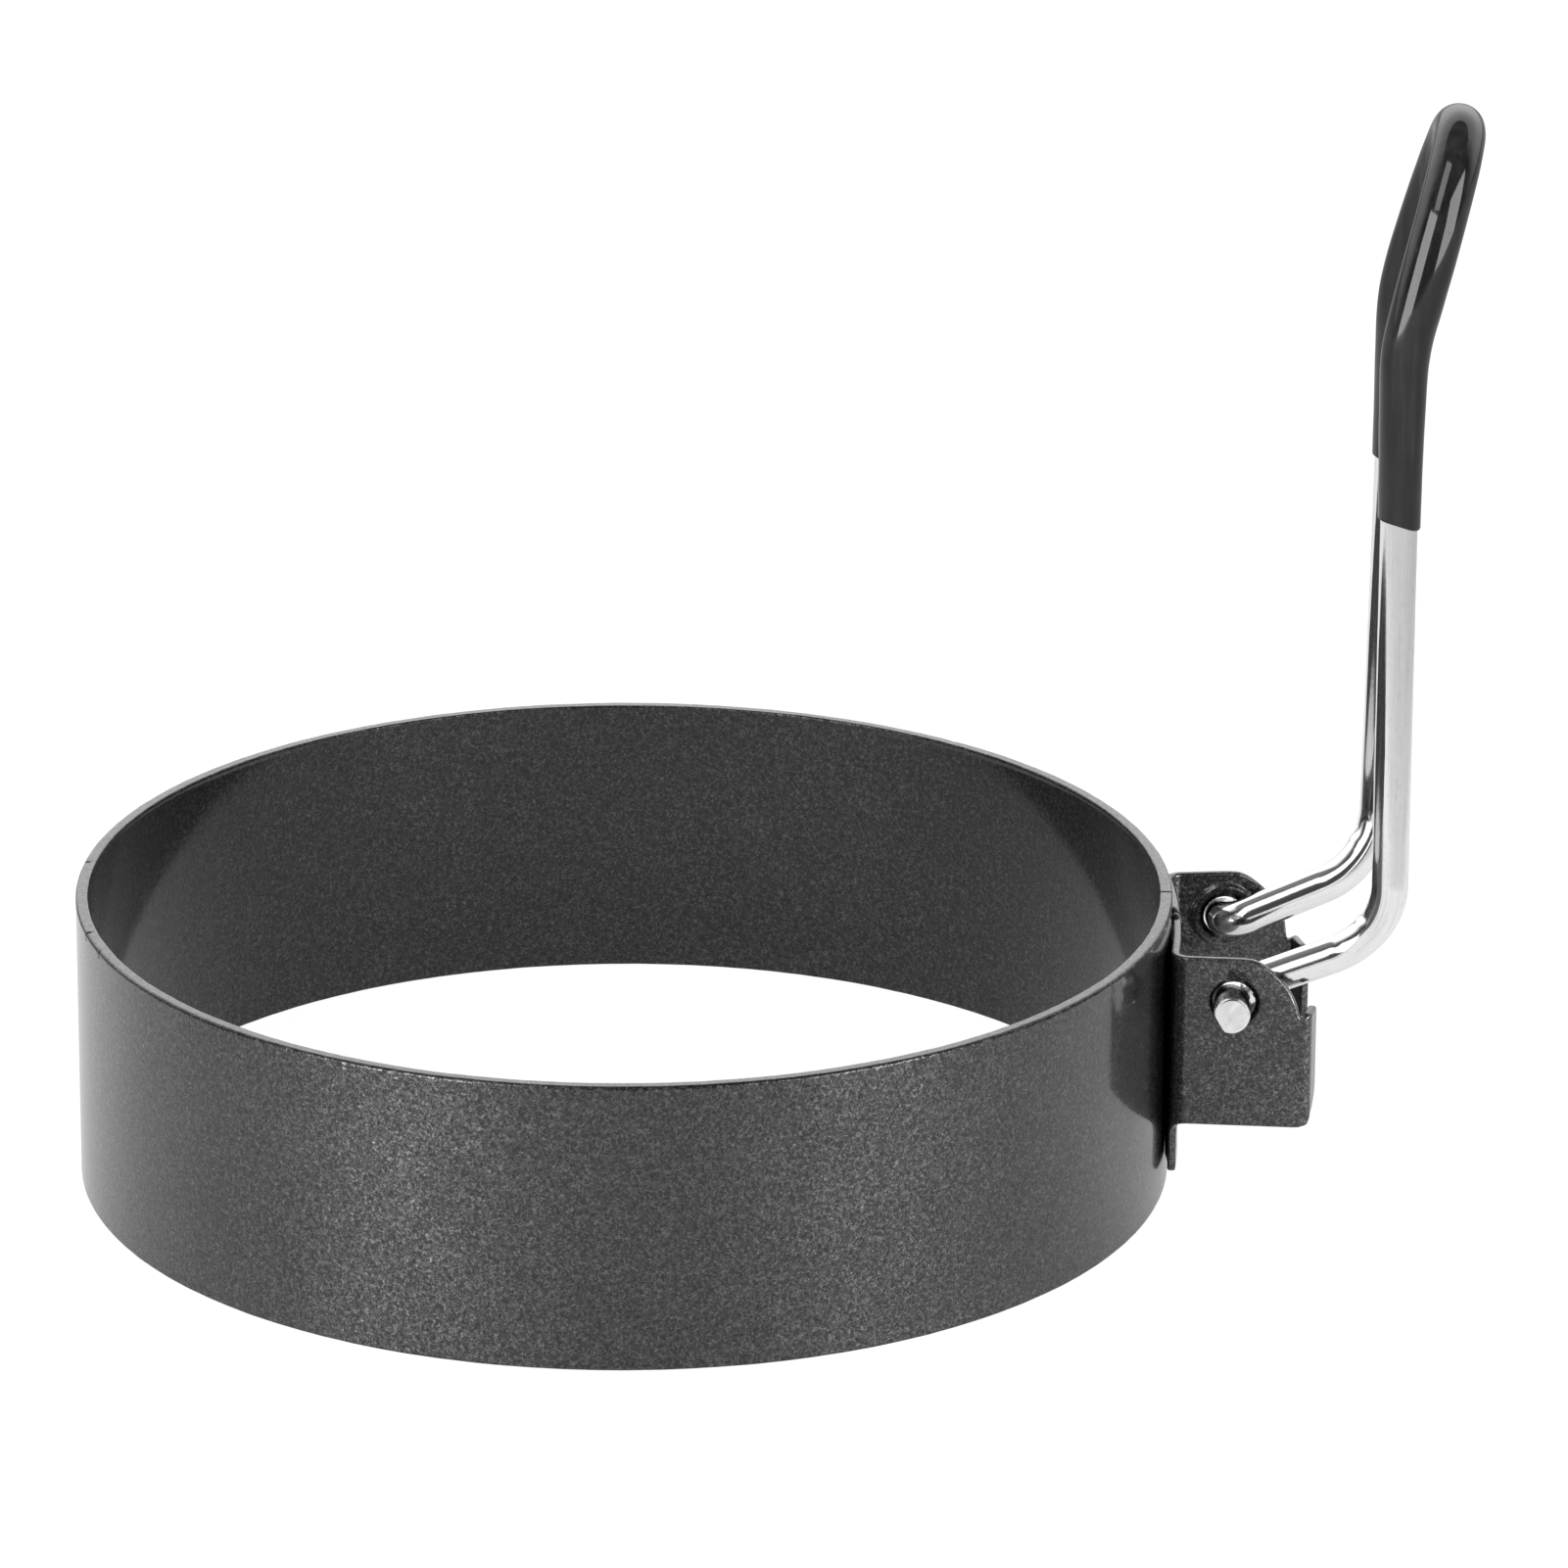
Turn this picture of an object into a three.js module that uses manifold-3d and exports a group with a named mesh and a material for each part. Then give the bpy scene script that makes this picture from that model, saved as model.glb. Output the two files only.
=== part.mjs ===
// Egg ring: a rolled steel band with a folding wire handle.
// Millimetres, +Z up. The band stands on z = 0 and the handle's bracket
// points along +X. The four pieces are the rolled band, the folded sheet
// bracket welded to it, the bent wire handle hooked in the bracket's two
// holes, and the dipped vinyl sleeve on the handle's loop.

import * as THREE from 'three';
import * as BufferGeometryUtils from 'three/addons/utils/BufferGeometryUtils.js';
import Module from 'manifold-3d';

// ---------------------------------------------------------------- band
const RING_R = 37.5;          // outer radius
const RING_T = 0.75;          // strip thickness
const RING_H = 20.0;          // strip width
const RIM_EASE = 0.14;        // broken edge of the strip
const RING_SEGMENTS = 96;
const SEAM_AZ = -1.5;         // butt seam of the rolled strip, degrees from +X
const SEAM_GAP = 0.12;

// ------------------------------------------------------------- bracket
const SHEET_T = 0.6;          // sheet thickness
const BASE_GAP = 0.12;        // paint and weld gap between band and base plate at their middle
const BASE_R = 76.0;          // the base plate is rolled less than the band
const BASE_BOTTOM = 1.9;      // the base plate reaches lower than the ears
const BASE_HALF = 7.4;        // half its width below the ears
const BRACKET_TOP = 18.0;
const EAR_BOTTOM = 5.87;
const EAR_SPLAY = 5.0;        // each ear opens outwards, degrees
const EAR_REF_X = 38.7;       // outer face of an ear is EAR_REF_Y out at this x
const EAR_REF_Y = 8.45;
const LIP_X = 46.66;          // outer faces of an ear and its turned-in lip meet at this x
const LIP_TILT = 14.5;        // the lips stop this many degrees short of square
const BASE_BEND_R = 0.75;     // inside bend radii
const LIP_BEND_R = 0.1;
const LIP_TOP_NEAR = 14.15;   // tops of the two lips
const LIP_TOP_FAR = 13.15;
const LIP_END_NEAR = 7.0;     // free edges of the lips, from the middle
const LIP_END_FAR = 6.3;
const EAR_CORNER_FAR = -0.3;  // the far ear's rounded corner starts this much earlier
const NOTCH_DEPTH = 0.25;     // relief notch between ear corner and lip

// --------------------------------------------------------------- pivot
const PIVOT_X = 41.5;
const PIVOT_Z = 14.9;
const HOLE_R = 1.55;
const COLLAR_R = 2.35;        // raised rim round each hole, inside the ears
const COLLAR_H = 0.3;

// -------------------------------------------------------------- handle
const WIRE_R = 1.25;
const WIRE_SIDES = 12;        // the section is drawn round the circle, flats at WIRE_R
const PIN_END_X = 41.2;       // the hooked ends lean a little towards the band
const PIN_END_Y = 11.3;
const LEG_HALF_PIVOT = 6.2;   // half the leg spacing at the pivot
const HOOK_R = 1.7;           // centre-line radius of the hooked ends
const LEG_RISE = 22.2;        // lower legs rise outwards, degrees
const LEG_HALF_ELBOW = 6.75;  // half spacing where the elbow starts
const LEG_HALF_TOP = 7.75;    // half spacing where the elbow ends
const ELBOW_R = 6.0;
const LEG_X = 51.88;          // upright legs, x at z = LEG_X_Z
const LEG_X_Z = 20.0;
const LEG_LEAN = 0.38;        // degrees outwards
const LEG_TAPER = 0.031;      // half spacing lost per mm of height
const KINK_Z = 60.55;         // the loop leans outwards above this height
const KINK_EASE = 1.49;
const LOOP_LEAN = 15.0;
const LOOP_TOP = 73.7;        // centre line at the top of the loop
const LOOP_H = 13.0;          // height over which the legs close
const LOOP_POWER = 2.4;       // superellipse exponent of the closing curve
const TWIST = 0.001;          // slight twist of the upright part, rad per mm

// -------------------------------------------------------------- sleeve
const SLEEVE_BOTTOM = 48.55;
const SLEEVE_BORE_R = 1.32;   // flats of the bore
const SLEEVE_R_BOTTOM = 1.45; // flats of the outside
const SLEEVE_R_TOP = 1.74;
const SLEEVE_FULL_Z = 66.5;   // full thickness from here up

const rad = THREE.MathUtils.degToRad;

// ------------------------------------------------------ solids and cuts
const wasm = await Module();
wasm.setup();

function signedVolume(geometry) {
  const p = geometry.attributes.position;
  const idx = geometry.index;
  const a = new THREE.Vector3();
  const b = new THREE.Vector3();
  const c = new THREE.Vector3();
  let v = 0;
  for (let i = 0; i < idx.count; i += 3) {
    a.fromBufferAttribute(p, idx.getX(i));
    b.fromBufferAttribute(p, idx.getX(i + 1));
    c.fromBufferAttribute(p, idx.getX(i + 2));
    v += a.dot(b.cross(c)) / 6;
  }
  return v;
}

// Merged positions only, faces pointing out.
function weld(geometry) {
  const g = geometry.clone();
  for (const name of Object.keys(g.attributes)) {
    if (name !== 'position') g.deleteAttribute(name);
  }
  const merged = BufferGeometryUtils.mergeVertices(g, 1e-4);
  const keep = [];
  const src = merged.index.array;
  for (let i = 0; i < src.length; i += 3) {
    const [i0, i1, i2] = [src[i], src[i + 1], src[i + 2]];
    if (i0 !== i1 && i1 !== i2 && i0 !== i2) keep.push(i0, i1, i2);
  }
  merged.setIndex(keep);
  if (signedVolume(merged) < 0) {
    for (let i = 0; i < keep.length; i += 3) {
      [keep[i + 1], keep[i + 2]] = [keep[i + 2], keep[i + 1]];
    }
    merged.setIndex(keep);
  }
  return merged;
}

function solid(geometry) {
  const g = weld(geometry);
  return new wasm.Manifold(new wasm.Mesh({
    numProp: 3,
    vertProperties: new Float32Array(g.attributes.position.array),
    triVerts: new Uint32Array(g.index.array),
  }));
}

function geometryOf(manifold) {
  const mesh = manifold.getMesh();
  const g = new THREE.BufferGeometry();
  g.setAttribute('position', new THREE.BufferAttribute(new Float32Array(mesh.vertProperties), 3));
  g.setIndex(new THREE.BufferAttribute(new Uint32Array(mesh.triVerts), 1));
  g.computeVertexNormals();
  return g;
}

// Side profile in (x, z), extruded along Y from y0 to y1.
function sidePrism(points, y0, y1) {
  const shape = new THREE.Shape(points.map(([x, z]) => new THREE.Vector2(x, z)));
  const g = new THREE.ExtrudeGeometry(shape, { depth: y1 - y0, bevelEnabled: false, steps: 1 });
  g.rotateX(Math.PI / 2);
  g.translate(0, y1, 0);
  return g;
}

// Points of a quarter arc from angle a0 to a1 (degrees).
function arc(cx, cz, r, a0, a1, n) {
  const out = [];
  for (let i = 0; i <= n; i++) {
    const a = rad(a0 + ((a1 - a0) * i) / n);
    out.push([cx + r * Math.cos(a), cz + r * Math.sin(a)]);
  }
  return out;
}

// ---------------------------------------------------------------- band
function makeBand() {
  const ri = RING_R - RING_T;
  const e = RIM_EASE;
  const profile = [
    [ri + e, 0], [RING_R - e, 0], [RING_R, e], [RING_R, RING_H - e],
    [RING_R - e, RING_H], [ri + e, RING_H], [ri, RING_H - e], [ri, e], [ri + e, 0],
  ].map(([r, z]) => new THREE.Vector2(r, z));
  const band = new THREE.LatheGeometry(profile, RING_SEGMENTS);
  band.rotateX(Math.PI / 2);
  const slit = new THREE.BoxGeometry(4, SEAM_GAP, RING_H * 2);
  slit.translate(RING_R, 0, RING_H / 2);
  slit.rotateZ(rad(SEAM_AZ));
  return geometryOf(solid(band).subtract(solid(slit)));
}

// ------------------------------------------------------------- bracket
// Middle line of the folded sheet in plan, one side (y > 0), from the free
// edge of its lip, along the ear, to the middle of the base plate.
function foldedHalf() {
  const k = Math.tan(rad(EAR_SPLAY));
  const half = SHEET_T / 2;
  const x0 = RING_R + BASE_GAP + half;
  // ear middle line: y = earY(x), base plate middle line: x = baseX(y)
  const earY = (x) => EAR_REF_Y + (x - EAR_REF_X) * k - half / Math.cos(rad(EAR_SPLAY));
  const baseX = (y) => x0 - BASE_R + Math.sqrt(BASE_R * BASE_R - y * y);
  // lip middle line, through the outer corner moved in by half the sheet
  const tilt = rad(LIP_TILT);
  const lipX = (y) => LIP_X - half / Math.cos(tilt)
    + (EAR_REF_Y + (LIP_X - EAR_REF_X) * k - y) * Math.tan(tilt);
  let yl = EAR_REF_Y;
  for (let i = 0; i < 60; i++) yl = earY(lipX(yl));
  let yb = EAR_REF_Y;
  for (let i = 0; i < 60; i++) yb = earY(baseX(yb));
  const corners = [
    { x: lipX(LIP_END_FAR), y: LIP_END_FAR, r: 0 },
    { x: lipX(yl), y: yl, r: LIP_BEND_R + half },
    { x: baseX(yb), y: yb, r: BASE_BEND_R + half },
  ];
  const n = 4;
  for (let i = n - 1; i >= 0; i--) {
    const y = ((yb - 1.4) * i) / (n - 1);
    corners.push({ x: baseX(y), y, r: 0 });
  }
  return corners;
}

function roundCorners(corners, n) {
  const out = [];
  corners.forEach((c, i) => {
    if (!c.r || i === 0 || i === corners.length - 1) {
      out.push(new THREE.Vector2(c.x, c.y));
      return;
    }
    const p = new THREE.Vector2(c.x, c.y);
    const d0 = new THREE.Vector2(corners[i - 1].x, corners[i - 1].y).sub(p).normalize();
    const d1 = new THREE.Vector2(corners[i + 1].x, corners[i + 1].y).sub(p).normalize();
    const between = Math.acos(d0.dot(d1));
    const back = c.r / Math.tan(between / 2);
    const start = p.clone().addScaledVector(d0, back);
    const end = p.clone().addScaledVector(d1, back);
    const centre = p.clone().add(d0.clone().add(d1).normalize().multiplyScalar(c.r / Math.sin(between / 2)));
    const a0 = Math.atan2(start.y - centre.y, start.x - centre.x);
    let da = Math.atan2(end.y - centre.y, end.x - centre.x) - a0;
    if (da > Math.PI) da -= 2 * Math.PI;
    if (da < -Math.PI) da += 2 * Math.PI;
    for (let j = 0; j <= n; j++) {
      const a = a0 + (da * j) / n;
      out.push(new THREE.Vector2(centre.x + c.r * Math.cos(a), centre.y + c.r * Math.sin(a)));
    }
  });
  return out;
}

function offset(line, d) {
  return line.map((p, i) => {
    const q0 = line[Math.max(i - 1, 0)];
    const q1 = line[Math.min(i + 1, line.length - 1)];
    const t0 = p.clone().sub(q0);
    const t1 = q1.clone().sub(p);
    if (t0.lengthSq() === 0) t0.copy(t1);
    if (t1.lengthSq() === 0) t1.copy(t0);
    t0.normalize();
    t1.normalize();
    const m = t0.clone().add(t1).normalize();
    const scale = d / Math.max(m.dot(t1), 0.2);
    return new THREE.Vector2(p.x - m.y * scale, p.y + m.x * scale);
  });
}

// Upper outline of an ear in (x, z): flat, a rounded outer corner, the
// relief notch at the bend, then the top of the lip.
function earTop(lipTop, dx) {
  return [
    [41.6 + dx, BRACKET_TOP + 3], [41.6 + dx, BRACKET_TOP], [42.2 + dx, BRACKET_TOP - 0.02],
    [42.8 + dx, BRACKET_TOP - 0.1], [43.4 + dx, 17.62], [44.1 + dx, 17.08], [44.7 + dx, 16.5],
    [45.15 + dx * 0.8, 15.93], [45.5 + dx * 0.6, 15.27], [45.74 + dx * 0.3, 14.65], [45.86, lipTop], [45.92, lipTop - NOTCH_DEPTH * 0.8],
    [46.05, lipTop - NOTCH_DEPTH], [46.2, lipTop - NOTCH_DEPTH * 0.7], [46.4, lipTop],
    [LIP_X + 2, lipTop], [LIP_X + 2, BRACKET_TOP + 3],
  ];
}

// Outline in (y, z), extruded along X from x0 to x1.
function frontPrism(points, x0, x1) {
  const shape = new THREE.Shape(points.map(([y, z]) => new THREE.Vector2(y, z)));
  const g = new THREE.ExtrudeGeometry(shape, { depth: x1 - x0, bevelEnabled: false, steps: 1 });
  g.applyMatrix4(new THREE.Matrix4().makeBasis(
    new THREE.Vector3(0, 1, 0), new THREE.Vector3(0, 0, 1), new THREE.Vector3(1, 0, 0)));
  g.translate(x0, 0, 0);
  return g;
}

function makeBracket() {
  const half = roundCorners(foldedHalf(), 6);
  const mirrored = half.map((p) => new THREE.Vector2(p.x, -p.y)).reverse();
  const line = half.concat(mirrored.slice(1));
  const left = offset(line, SHEET_T / 2);
  const right = offset(line, -SHEET_T / 2).reverse();
  const blank = new THREE.ExtrudeGeometry(new THREE.Shape(left.concat(right)), {
    depth: BRACKET_TOP - BASE_BOTTOM, bevelEnabled: false, steps: 1,
  });
  blank.translate(0, 0, BASE_BOTTOM);
  let body = solid(blank);

  // raised rims round the holes, on the inner face of each ear
  const inner = EAR_REF_Y + (PIVOT_X - EAR_REF_X) * Math.tan(rad(EAR_SPLAY)) - SHEET_T / Math.cos(rad(EAR_SPLAY));
  for (const side of [-1, 1]) {
    const rim = new THREE.CylinderGeometry(COLLAR_R, COLLAR_R, COLLAR_H + 0.3, 24);
    rim.rotateZ(side * rad(EAR_SPLAY));
    rim.translate(PIVOT_X, side * (inner - (COLLAR_H - 0.3) / 2), PIVOT_Z);
    body = body.add(solid(rim));
  }

  // shaped upper edges of the ears and lips
  body = body.subtract(solid(sidePrism(earTop(LIP_TOP_NEAR, 0), -14, 0)));
  body = body.subtract(solid(sidePrism(earTop(LIP_TOP_FAR, EAR_CORNER_FAR), 0, 14)));

  // below the ears only the base plate goes on
  const under = [
    [36, 1], [36, EAR_BOTTOM - 0.7], [37.3, EAR_BOTTOM - 0.55], [37.7, EAR_BOTTOM - 0.25], [38.2, EAR_BOTTOM],
    [46.0, EAR_BOTTOM], [46.25, EAR_BOTTOM + 0.1], [46.55, EAR_BOTTOM + 0.27], [46.75, EAR_BOTTOM + 0.5],
    [LIP_X + 2, EAR_BOTTOM + 0.7], [LIP_X + 2, 1],
  ];
  body = body.subtract(solid(sidePrism(under, -14, -BASE_HALF)));
  body = body.subtract(solid(sidePrism(under, BASE_HALF, 14)));

  // the lips end well short of the middle, with rounded lower corners
  const lipUnder = (end) => [
    [end + 2.5, 1], [end + 2.5, EAR_BOTTOM + 0.45], [end + 1.9, EAR_BOTTOM + 0.7], [end + 1.3, EAR_BOTTOM + 0.9],
    [end + 0.9, EAR_BOTTOM + 1.05], [end + 0.5, EAR_BOTTOM + 1.4], [end + 0.15, EAR_BOTTOM + 1.95],
    [end - 0.1, EAR_BOTTOM + 2.6], [end - 0.4, EAR_BOTTOM + 2.6], [end - 0.4, 1],
  ];
  body = body.subtract(solid(frontPrism(lipUnder(LIP_END_FAR), 46.5, 49)));
  body = body.subtract(solid(frontPrism(lipUnder(LIP_END_NEAR).map(([y, z]) => [-y, z]).reverse(), 46.5, 49)));
  body = body.subtract(solid(frontPrism(
    [[-LIP_END_NEAR, 1], [LIP_END_FAR, 1], [LIP_END_FAR, 20], [-LIP_END_NEAR, 20]], 45.4, 49)));

  // pivot holes through both ears
  const bore = new THREE.CylinderGeometry(HOLE_R, HOLE_R, 40, 24);
  bore.translate(PIVOT_X, 0, PIVOT_Z);
  body = body.subtract(solid(bore));
  return geometryOf(body);
}

// -------------------------------------------------------------- handle
function uprightX(z) {
  const t1 = Math.tan(rad(LEG_LEAN));
  const t2 = Math.tan(rad(LOOP_LEAN));
  const d = z - KINK_Z;
  return LEG_X + t1 * (z - LEG_X_Z) + (t2 - t1) * 0.5 * (d + Math.sqrt(d * d + KINK_EASE * KINK_EASE));
}

const twisted = (x, y, z) => new THREE.Vector3(x + TWIST * Math.max(z - LEG_X_Z, 0) * y, y, z);

// Centre line of one half of the wire, from its hooked end to the top of
// the loop, as stations that are close together in the bends.
function halfWire(side) {
  const pts = [];
  const legDir = new THREE.Vector3(Math.cos(rad(LEG_RISE)), 0, Math.sin(rad(LEG_RISE)));
  // elbow between the rising leg and the upright leg, in the (x, z) plane
  let cx = LEG_X;
  for (let i = 0; i < 20; i++) cx = uprightX(PIVOT_Z + (cx - PIVOT_X) * Math.tan(rad(LEG_RISE)));
  const cz = PIVOT_Z + (cx - PIVOT_X) * Math.tan(rad(LEG_RISE));
  const turn = rad(90 - LEG_RISE - LEG_LEAN);
  const back = ELBOW_R * Math.tan(turn / 2);
  const e0 = new THREE.Vector2(cx - back * legDir.x, cz - back * legDir.z);
  const ec = new THREE.Vector2(e0.x - ELBOW_R * legDir.z, e0.y + ELBOW_R * legDir.x);

  // hooked end
  const corner = new THREE.Vector3(PIVOT_X, side * LEG_HALF_PIVOT, PIVOT_Z);
  const end = new THREE.Vector3(PIN_END_X, side * PIN_END_Y, PIVOT_Z);
  const toEnd = end.clone().sub(corner).normalize();
  const legEnd = new THREE.Vector3(e0.x, side * LEG_HALF_ELBOW, e0.y);
  const toLeg = legEnd.clone().sub(corner).normalize();
  const between = toEnd.angleTo(toLeg);
  const hookBack = HOOK_R / Math.tan(between / 2);
  const centre = corner.clone().add(
    toEnd.clone().add(toLeg).normalize().multiplyScalar(HOOK_R / Math.sin(between / 2)));
  const h0 = corner.clone().addScaledVector(toEnd, hookBack);
  const h1 = corner.clone().addScaledVector(toLeg, hookBack);
  pts.push(end, end.clone().lerp(h0, 0.5));
  const sweep = Math.PI - between;
  const u0 = h0.clone().sub(centre);
  const u1 = h1.clone().sub(centre);
  const nHook = 7;
  for (let i = 0; i <= nHook; i++) {
    const a = (sweep * i) / nHook;
    const dir = u0.clone().multiplyScalar(Math.sin(sweep - a) / Math.sin(sweep))
      .addScaledVector(u1, Math.sin(a) / Math.sin(sweep));
    pts.push(centre.clone().add(dir));
  }
  // rising leg
  pts.push(h1.clone().lerp(legEnd, 0.5));
  // elbow
  const nElbow = 9;
  for (let i = 0; i <= nElbow; i++) {
    const s = i / nElbow;
    const a = rad(LEG_RISE) + turn * s;
    const ease = s * s * (3 - 2 * s);
    const y = side * THREE.MathUtils.lerp(LEG_HALF_ELBOW, LEG_HALF_TOP, ease);
    pts.push(twisted(ec.x + ELBOW_R * Math.sin(a), y, ec.y - ELBOW_R * Math.cos(a)));
  }
  // upright leg up to the kink
  const zTop = pts[pts.length - 1].z;
  const spread = (z) => LEG_HALF_TOP - LEG_TAPER * (z - zTop);
  for (const z of [30, 39, SLEEVE_BOTTOM, 53, 57, 58.6, 59.6]) pts.push(twisted(uprightX(z), side * spread(z), z));
  // leaning loop
  const z0 = LOOP_TOP - LOOP_H;
  const nLoop = 16;
  for (let i = 0; i <= nLoop; i++) {
    const a = (Math.PI / 2) * (i / nLoop);
    const z = z0 + LOOP_H * Math.sin(a) ** (2 / LOOP_POWER);
    const y = i === nLoop ? 0 : side * spread(z) * Math.cos(a) ** (2 / LOOP_POWER);
    if (z > 59.9) pts.push(twisted(uprightX(z), y, z));
  }
  return pts;
}

// A curve whose equal steps are the given stations.
class StationCurve extends THREE.Curve {
  constructor(points) {
    super();
    this.spline = new THREE.CatmullRomCurve3(points, false, 'centripetal');
  }
  getPoint(t, target = new THREE.Vector3()) { return this.spline.getPoint(t, target); }
  getPointAt(u, target) { return this.getPoint(u, target); }
  getTangentAt(u, target) { return this.getTangent(u, target); }
}

// Polygon drawn round a circle, so that its flats keep the radius.
const ROUND = 1 / Math.cos(Math.PI / WIRE_SIDES);

function circle(r, sides, hole = 0) {
  const ring = (flat) => Array.from({ length: sides }, (_, i) => {
    const a = (2 * Math.PI * i) / sides;
    return new THREE.Vector2(flat * ROUND * Math.cos(a), flat * ROUND * Math.sin(a));
  });
  const shape = new THREE.Shape(ring(r));
  if (hole) shape.holes.push(new THREE.Path(ring(hole)));
  return shape;
}

const near = halfWire(-1);
const far = halfWire(1);
const wireLine = near.concat(far.slice(0, -1).reverse());

function makeWire() {
  return weld(new THREE.ExtrudeGeometry(circle(WIRE_R, WIRE_SIDES), {
    extrudePath: new StationCurve(wireLine), steps: wireLine.length - 1, bevelEnabled: false,
  }));
}

function makeSleeve() {
  const line = wireLine.filter((p) => p.z >= SLEEVE_BOTTOM - 1e-6);
  const g = weld(new THREE.ExtrudeGeometry(circle(SLEEVE_R_TOP, WIRE_SIDES, SLEEVE_BORE_R), {
    extrudePath: new StationCurve(line), steps: line.length - 1, bevelEnabled: false,
  }));
  // the sleeve thins towards its two lower ends
  const p = g.attributes.position;
  const v = new THREE.Vector3();
  for (let i = 0; i < p.count; i++) {
    v.fromBufferAttribute(p, i);
    const c = line.reduce((best, q) => (q.distanceToSquared(v) < best.distanceToSquared(v) ? q : best));
    const d = v.clone().sub(c);
    if (d.length() < ROUND * (SLEEVE_BORE_R + SLEEVE_R_TOP) / 2) continue;
    const s = THREE.MathUtils.clamp((c.z - SLEEVE_BOTTOM) / (SLEEVE_FULL_Z - SLEEVE_BOTTOM), 0, 1);
    d.setLength(ROUND * THREE.MathUtils.lerp(SLEEVE_R_BOTTOM, SLEEVE_R_TOP, s));
    v.copy(c).add(d);
    p.setXYZ(i, v.x, v.y, v.z);
  }
  return g;
}

// ------------------------------------------------------------ assembly
function piece(name, geometry, color, roughness, metalness) {
  geometry.computeVertexNormals();
  const mesh = new THREE.Mesh(geometry, new THREE.MeshStandardMaterial({ color, roughness, metalness }));
  mesh.name = name;
  return mesh;
}

const body = new THREE.Group();
body.add(piece('ring_band', makeBand(), 0x3a3a3b, 0.38, 0.5));
body.add(piece('hinge_bracket', makeBracket(), 0x38383a, 0.4, 0.5));
const handle = new THREE.Group();
handle.add(piece('wire_handle', makeWire(), 0xd9d9dc, 0.12, 1.0));
handle.add(piece('grip_sleeve', makeSleeve(), 0x151516, 0.15, 0.0));

// The origin is the middle of the bounding box at its base.
const model = new THREE.Group();
model.add(body, handle);
const bounds = new THREE.Box3().setFromObject(model);
const middle = bounds.getCenter(new THREE.Vector3());
model.position.set(-middle.x, -middle.y, -bounds.min.z);
const egg_ring = new THREE.Group();
egg_ring.add(model);
egg_ring.updateMatrixWorld(true);

export default egg_ring;
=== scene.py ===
"""Egg ring with a folding wire handle: finished meshes, materials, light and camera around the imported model."""
import math

import bpy
import numpy as np
from mathutils import Matrix, Vector
from mathutils.geometry import delaunay_2d_cdt


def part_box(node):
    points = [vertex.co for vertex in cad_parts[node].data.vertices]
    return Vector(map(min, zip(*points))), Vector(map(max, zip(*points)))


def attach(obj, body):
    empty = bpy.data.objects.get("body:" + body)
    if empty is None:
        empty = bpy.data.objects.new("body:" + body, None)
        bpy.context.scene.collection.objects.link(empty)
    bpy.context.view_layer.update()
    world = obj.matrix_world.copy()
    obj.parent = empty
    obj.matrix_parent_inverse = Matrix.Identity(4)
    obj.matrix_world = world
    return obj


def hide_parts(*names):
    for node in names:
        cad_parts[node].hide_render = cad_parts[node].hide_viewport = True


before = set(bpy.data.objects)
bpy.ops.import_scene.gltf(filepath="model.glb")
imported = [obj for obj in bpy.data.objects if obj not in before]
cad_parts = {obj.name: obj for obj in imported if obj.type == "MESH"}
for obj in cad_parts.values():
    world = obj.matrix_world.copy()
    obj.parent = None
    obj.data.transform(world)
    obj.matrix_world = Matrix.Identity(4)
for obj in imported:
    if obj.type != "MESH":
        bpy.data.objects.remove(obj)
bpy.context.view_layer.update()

# Lengths below are millimetres with the band's axis at x = 0, y = 0; row() brings them into the row frame in metres.
ring_low, ring_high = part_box("ring_band")
AXIS_X = 0.5 * (ring_low.x + ring_high.x)


def row(points):
    p = np.array(points, float) * 0.001
    p[..., 0] += AXIS_X
    return p


def rad(d):
    return math.radians(d)


def smooth01(t):
    t = np.clip(t, 0.0, 1.0)
    return t * t * (3 - 2 * t)


def wave(t, seed, longest, shortest, terms=9):
    """Smooth irregular curve in about -1..1 over the length t, the same every run."""
    rng = np.random.default_rng(seed)
    out = np.zeros_like(np.asarray(t, float))
    norm = 0.0
    for i in range(terms):
        length = longest * (shortest / longest) ** (i / (terms - 1))
        amp = 0.6 + 0.4 * rng.random()
        out = out + amp * np.sin(2 * math.pi * (np.asarray(t, float) / length + rng.random()))
        norm += amp * amp
    return out / math.sqrt(2 * norm) / 1.2


def make_piece(name, verts, faces, uv=None):
    mesh = bpy.data.meshes.new(name)
    mesh.from_pydata([tuple(v) for v in row(verts)], [], [tuple(int(i) for i in f) for f in faces])
    mesh.polygons.foreach_set("use_smooth", [True] * len(mesh.polygons))
    if uv is not None:
        layer = mesh.uv_layers.new(name="along")
        loop_vert = np.zeros(len(mesh.loops), np.int32)
        mesh.loops.foreach_get("vertex_index", loop_vert)
        layer.data.foreach_set("uv", np.asarray(uv, np.float32)[loop_vert].ravel())
    mesh.update()
    piece = bpy.data.objects.new(name, mesh)
    bpy.context.scene.collection.objects.link(piece)
    return piece


# ---------------------------------------------------------------- camera
ELEVATION, ROLL = rad(19.9485), rad(-0.2501)
se, ce = math.sin(ELEVATION), math.cos(ELEVATION)
sr, cr = math.sin(ROLL), math.cos(ROLL)
right, down, ahead = Vector((1, 0, 0)), Vector((0, -se, -ce)), Vector((0, ce, -se))
cam_x = cr * right + sr * down
cam_down = -sr * right + cr * down
camera_data = bpy.data.cameras.new("photo_camera")
camera_data.sensor_fit = "HORIZONTAL"
camera_data.sensor_width = 36.0
camera_data.lens = 221.40
camera_data.clip_start = 0.01
camera_data.clip_end = 60.0
camera = bpy.data.objects.new("photo_camera", camera_data)
bpy.context.scene.collection.objects.link(camera)
turn = Matrix((cam_x, -cam_down, -ahead)).transposed().to_4x4()
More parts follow.
